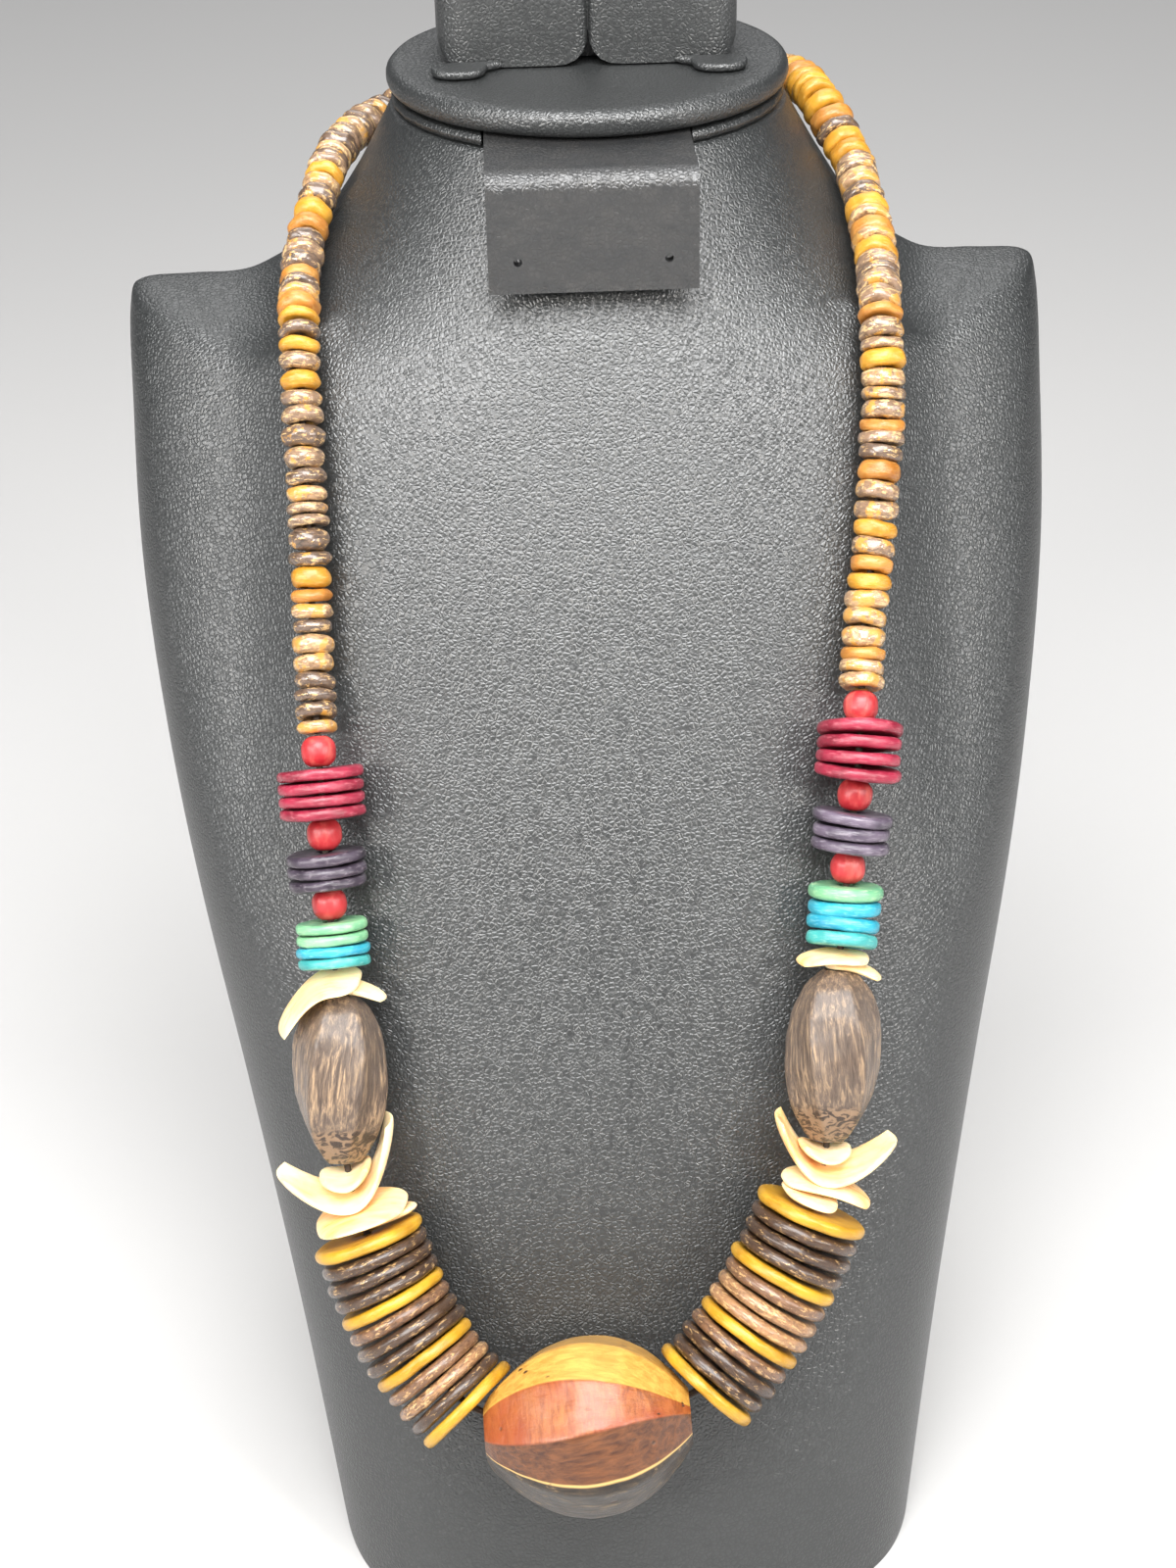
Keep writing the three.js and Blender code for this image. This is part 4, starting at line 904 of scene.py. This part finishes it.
def carved(length, radius, rows, corners, side, edge, bore, bore_at=(0, 0), bump=0.15):
    """A faceted bead: flat facets between turned corners, their edges softened over a few columns."""
    per = 16               # columns to a facet
    length_rows = 110      # rings along the bead

    def ring_at(along):
        ring = []
        spots = []
        for corner, turn in corners:
            a = math.radians(corner + side * along * turn / 2 - 90)
            spots.append(np.array([math.cos(a), math.sin(a)]))
        for i, p in enumerate(spots):
            q = spots[(i + 1) % len(spots)]
            ring += [p + (q - p) * k / per for k in range(per)]
        ring = np.array(ring)
        for _ in range(edge):
            ring = (np.roll(ring, 1, 0) + ring * 2 + np.roll(ring, -1, 0)) / 4
        return ring

    verts, own = [], []
    straight = ring_at(0)
    for along, width in smooth_profile(rows, length_rows):
        ring = ring_at(along)
        for (x, y), (own_x, own_y) in zip(ring, straight):
            p = Vector((x * width * radius, y * width * radius, along * length / 2))
            p += Vector((p.x, p.y, 0)).normalized() * bump * noise.noise(p * 0.35)
            verts.append(p)
            own.append((own_x * width * radius, own_y * width * radius, p.z))
    columns = len(straight)
    faces = grid_faces(length_rows, columns)
    for start, z, flip in ((0, -1, True), ((length_rows - 1) * columns, 1, False)):
        middle = len(verts)
        verts.append(Vector((bore_at[0] * 0.6, bore_at[1] * 0.6, z * (length / 2 - bore))))
        own.append(tuple(verts[-1]))
        for j in range(columns):
            k = (j + 1) % columns
            faces.append([start + k, start + j, middle] if flip else [start + j, start + k, middle])
    return verts, faces, own


# shell chips

# name, side, zone, distance up the zone in mm, then the shape as chip() takes it: lengths as shares
# of SHELL_REACH, and the nod in degrees.
CHIPS = [
    ("left_top_curl", -1, "upper", 3.3, 1.05, 0.45, 0.8, 0.2, -0.85, -0.05, 26),
    ("left_top_strip", -1, "upper", 1.39, 0.25, 0.85, 0.34, 0.2, -0.04, -0.28, 18),
    ("left_inner", -1, "lower", 10.1, 0.5, 0.42, 0.55, 0.3, 0.12, 0.2, 20),
    ("left_smile", -1, "lower", 6.7, 1.2, 1.05, 0.45, 0.35, 0.75, 1.1, 36),
    ("left_saddle", -1, "lower", 4.7, 0.8, 0.9, 0.75, 0.35, -0.12, -0.12, 28),
    ("left_under", -1, "lower", 1.4, 0.5, 1, 0.35, 0.4, 0, 0.02, 8),
    ("right_top_curl", 1, "upper", 2.92, 0.75, 0.5, 0.6, 0.15, -0.2, -0.03, 17),
    ("right_top_strip", 1, "upper", 1.3, 0.28, 0.75, 0.33, 0.2, -0.02, -0.22, 15),
    ("right_inner", 1, "lower", 9.45, 0.5, 0.42, 0.5, 0.25, 0.14, 0.14, 16),
    ("right_smile", 1, "lower", 6.5, 1, 1.2, 0.45, 0.35, 0.8, 0.7, 36),
    ("right_arch", 1, "lower", 4.6, 0.7, 0.95, 0.5, 0.35, -0.1, -0.22, 22),
    ("right_plate", 1, "lower", 1.9, 0.65, 0.35, 0.7, 0.3, 0, 0, 12),
]


def chip(left, right, front, back, lift_left, lift_right, nod):
    """A curved flake of shell with rounded, thinning edges."""
    wide, deep = 44, 22

    def surface(u, v):
        reach = left if u < 0 else right
        lift = lift_left if u < 0 else lift_right
        narrow = math.sqrt(1 - 0.72 * u * u)
        depth = (front if v < 0 else back) * narrow
        tip = 1 - 0.12 * v * v
        fall = math.sin(math.radians(nod)) * depth * v
        return np.array([u * reach * tip, v * depth, lift * u * u + fall]) * SHELL_REACH

    verts = []
    for side in (-1, 1):
        for r in range(deep + 1):
            for c in range(wide + 1):
                u, v = c / wide * 2 - 1, r / deep * 2 - 1
                u, v = math.sin(u * math.pi / 2), math.sin(v * math.pi / 2)
                du = surface(min(u + 0.01, 1), v) - surface(max(u - 0.01, -1), v)
                dv = surface(u, min(v + 0.01, 1)) - surface(u, max(v - 0.01, -1))
                n = np.cross(du, dv)
                n /= max(np.linalg.norm(n), 1e-9)
                edge = max(1 - abs(u) ** 10, 0) ** 0.5 * max(1 - abs(v) ** 6, 0) ** 0.5
                p = surface(u, v) + n * side * (SHELL_THICK + SHELL_SWELL) / 2 * edge
                verts.append(p)
    cols = wide + 1
    layer = cols * (deep + 1)
    faces = []
    for r in range(deep):
        for c in range(wide):
            a = r * cols + c
            faces.append([a, a + cols, a + cols + 1, a + 1])
            faces.append([layer + a, layer + a + 1, layer + a + cols + 1, layer + a + cols])
    rim = list(range(wide)) + [r * cols + wide for r in range(deep)]
    rim += [deep * cols + c for c in range(wide, 0, -1)] + [r * cols for r in range(deep, 0, -1)]
    for i, a in enumerate(rim):
        b = rim[(i + 1) % len(rim)]
        faces.append([a, b, layer + b, layer + a])
    return verts, faces


# threading everything on the strands

for strand, row in STRANDS.items():
    name = row["name"]
    cursor = row["start"]
    big_discs(strand, cursor, row["big"])
    cursor += BIG_COUNT * row["big"]
    zones = {"lower": cursor}
    cursor += row["lower"]
    made = Builder()
    shape, faces, own = carved(CARVED_LENGTH, CARVED_RADIUS, CARVED_PROFILE, CARVED_CORNERS, strand,
                               edge=2, bore=1.3)
    made.add(shape, faces, facing(strand, cursor + CARVED_LENGTH / 2), local=own)
    made.build(f"carved_{name}", [CARVED], [f"carved_bead_{name}"])
    cursor += CARVED_LENGTH
    zones["upper"] = cursor
    cursor += row["upper"]
    for label, side, zone, at, *shape in CHIPS:
        if side == strand:
            made = Builder()
            made.add(*chip(*shape), facing(strand, zones[zone] + at))
            made.build(f"chip_{label}", [SHELL], [f"shell_{label}"])
    middles = []
    red_start = cursor
    for kind, count, radius in (("turquoise", 4, TURQUOISE_RADIUS), ("purple", 3, PURPLE_RADIUS),
                                ("burgundy", 4, BURGUNDY_RADIUS)):
        disc_stack(kind, strand, cursor, row[kind], radius)
        cursor += count * row[kind]
        middles.append(cursor + ROUND_LENGTH / 2)
        cursor += ROUND_LENGTH
    red_beads(strand, middles, red_start, cursor)
    coco_beads(strand, cursor + PIECE_GAP / 2, row["coco"])

# centre bead

# how far the bead's middle lies right of, below and in front of the string, in mm
CENTRE_SHIFT, CENTRE_HANG, CENTRE_OUT = 0.1, 1.4, 3.4
rightward = -along_string(0)
backward = BACKWARD - rightward * rightward[1]
backward /= np.linalg.norm(backward)
upward = np.cross(rightward, backward)
centre_at = on_string(0) + rightward * CENTRE_SHIFT - upward * CENTRE_HANG - backward * CENTRE_OUT
made = Builder()
shape, faces, own = carved(CENTRE_LENGTH, CENTRE_RADIUS, CENTRE_PROFILE, CENTRE_CORNERS, 1,
                           edge=1, bore=1.5, bore_at=(CENTRE_HANG, -CENTRE_OUT), bump=0.1)
made.add(shape, faces, (centre_at, np.array([upward, -backward, rightward])), local=own)
made.build("centre", [CENTRE], ["centre_bead"])

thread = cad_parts["front_thread"]
thread.data.materials.clear()
thread.data.materials.append(THREAD)

# floor, light and camera

def floor(half, colour):
    """The pale floor, which isn't part of the object."""
    mesh = bpy.data.meshes.new("floor")
    corners = [(-half, -half, 0), (half, -half, 0), (half, half, 0), (-half, half, 0)]
    mesh.from_pydata(corners, [], [[0, 1, 2, 3]])
    obj = bpy.data.objects.new("floor", mesh)
    bpy.context.collection.objects.link(obj)
    m = Nodes("floor")
    m.shader.inputs["Base Color"].default_value = (*colour, 1)
    m.shader.inputs["Roughness"].default_value = 0.9
    mesh.materials.append(m.mat)


floor(4, (0.5, 0.495, 0.49))


def area(name, location, target, size, power, tint=(1, 1, 1)):
    """A soft lamp at a place, turned towards its target, in metres and watts."""
    light = bpy.data.lights.new(name, "AREA")
    light.shape = "RECTANGLE"
    light.size, light.size_y = size
    light.energy = power
    light.color = tint
    obj = bpy.data.objects.new(name, light)
    bpy.context.collection.objects.link(obj)
    obj.location = location
    obj.rotation_euler = (Vector(target) - Vector(location)).to_track_quat("-Z", "Y").to_euler()


area("key_left", (-0.6, -0.75, 0.55), (0, -0.02, 0.16), (0.14, 0.14), 4.2, (1, 0.965, 0.91))
area("key_right", (0.6, -0.75, 0.55), (0, -0.02, 0.16), (0.14, 0.14), 3.8, (1, 0.965, 0.91))
area("side_left", (-1.0, -0.5, 0.55), (0, 0, 0.16), (0.5, 0.4), 6)
area("side_right", (1.0, -0.5, 0.55), (0, 0, 0.16), (0.5, 0.4), 5)
area("front", (0, -0.8, 0.98), (0, 0, 0.2), (0.9, 0.4), 14)
area("top", (0, -0.42, 1.1), (0, 0.0, 0.18), (1.0, 0.4), 15)
area("far", (0, 1.6, 2.2), (0, 1.4, 0), (2.5, 2), 40)

world = bpy.data.worlds.new("studio")
bpy.context.scene.world = world
world.use_nodes = True
world.node_tree.nodes["Background"].inputs["Color"].default_value = (0.9, 0.93, 1.0, 1)
world.node_tree.nodes["Background"].inputs["Strength"].default_value = 0.08
bpy.context.scene.view_settings.view_transform = "Standard"

# The camera looks down at a point of the chest from CAMERA_AWAY metres.
CAMERA_TARGET, CAMERA_AWAY = (-0.0036, -0.026, 0.145), 0.452
CAMERA_PITCH, CAMERA_YAW, CAMERA_ROLL = (math.radians(degrees) for degrees in (27, 1.5, 1.5))

camera = bpy.data.cameras.new("camera")
camera.lens = 60
camera.sensor_width = 36
camera.clip_start = 0.01
view = bpy.data.objects.new("camera", camera)
bpy.context.collection.objects.link(view)
look = Vector((math.sin(CAMERA_YAW) * math.cos(CAMERA_PITCH), math.cos(CAMERA_YAW) * math.cos(CAMERA_PITCH),
               -math.sin(CAMERA_PITCH)))
level = Vector((math.cos(CAMERA_YAW), -math.sin(CAMERA_YAW), 0))
upright = level.cross(look)
cam_x = level * math.cos(CAMERA_ROLL) - upright * math.sin(CAMERA_ROLL)
cam_y = level * math.sin(CAMERA_ROLL) + upright * math.cos(CAMERA_ROLL)
spot = Vector(CAMERA_TARGET) - look * CAMERA_AWAY
view.matrix_world = Matrix(((cam_x.x, cam_y.x, -look.x, spot.x), (cam_x.y, cam_y.y, -look.y, spot.y),
                            (cam_x.z, cam_y.z, -look.z, spot.z), (0, 0, 0, 1)))
bpy.context.scene.camera = view
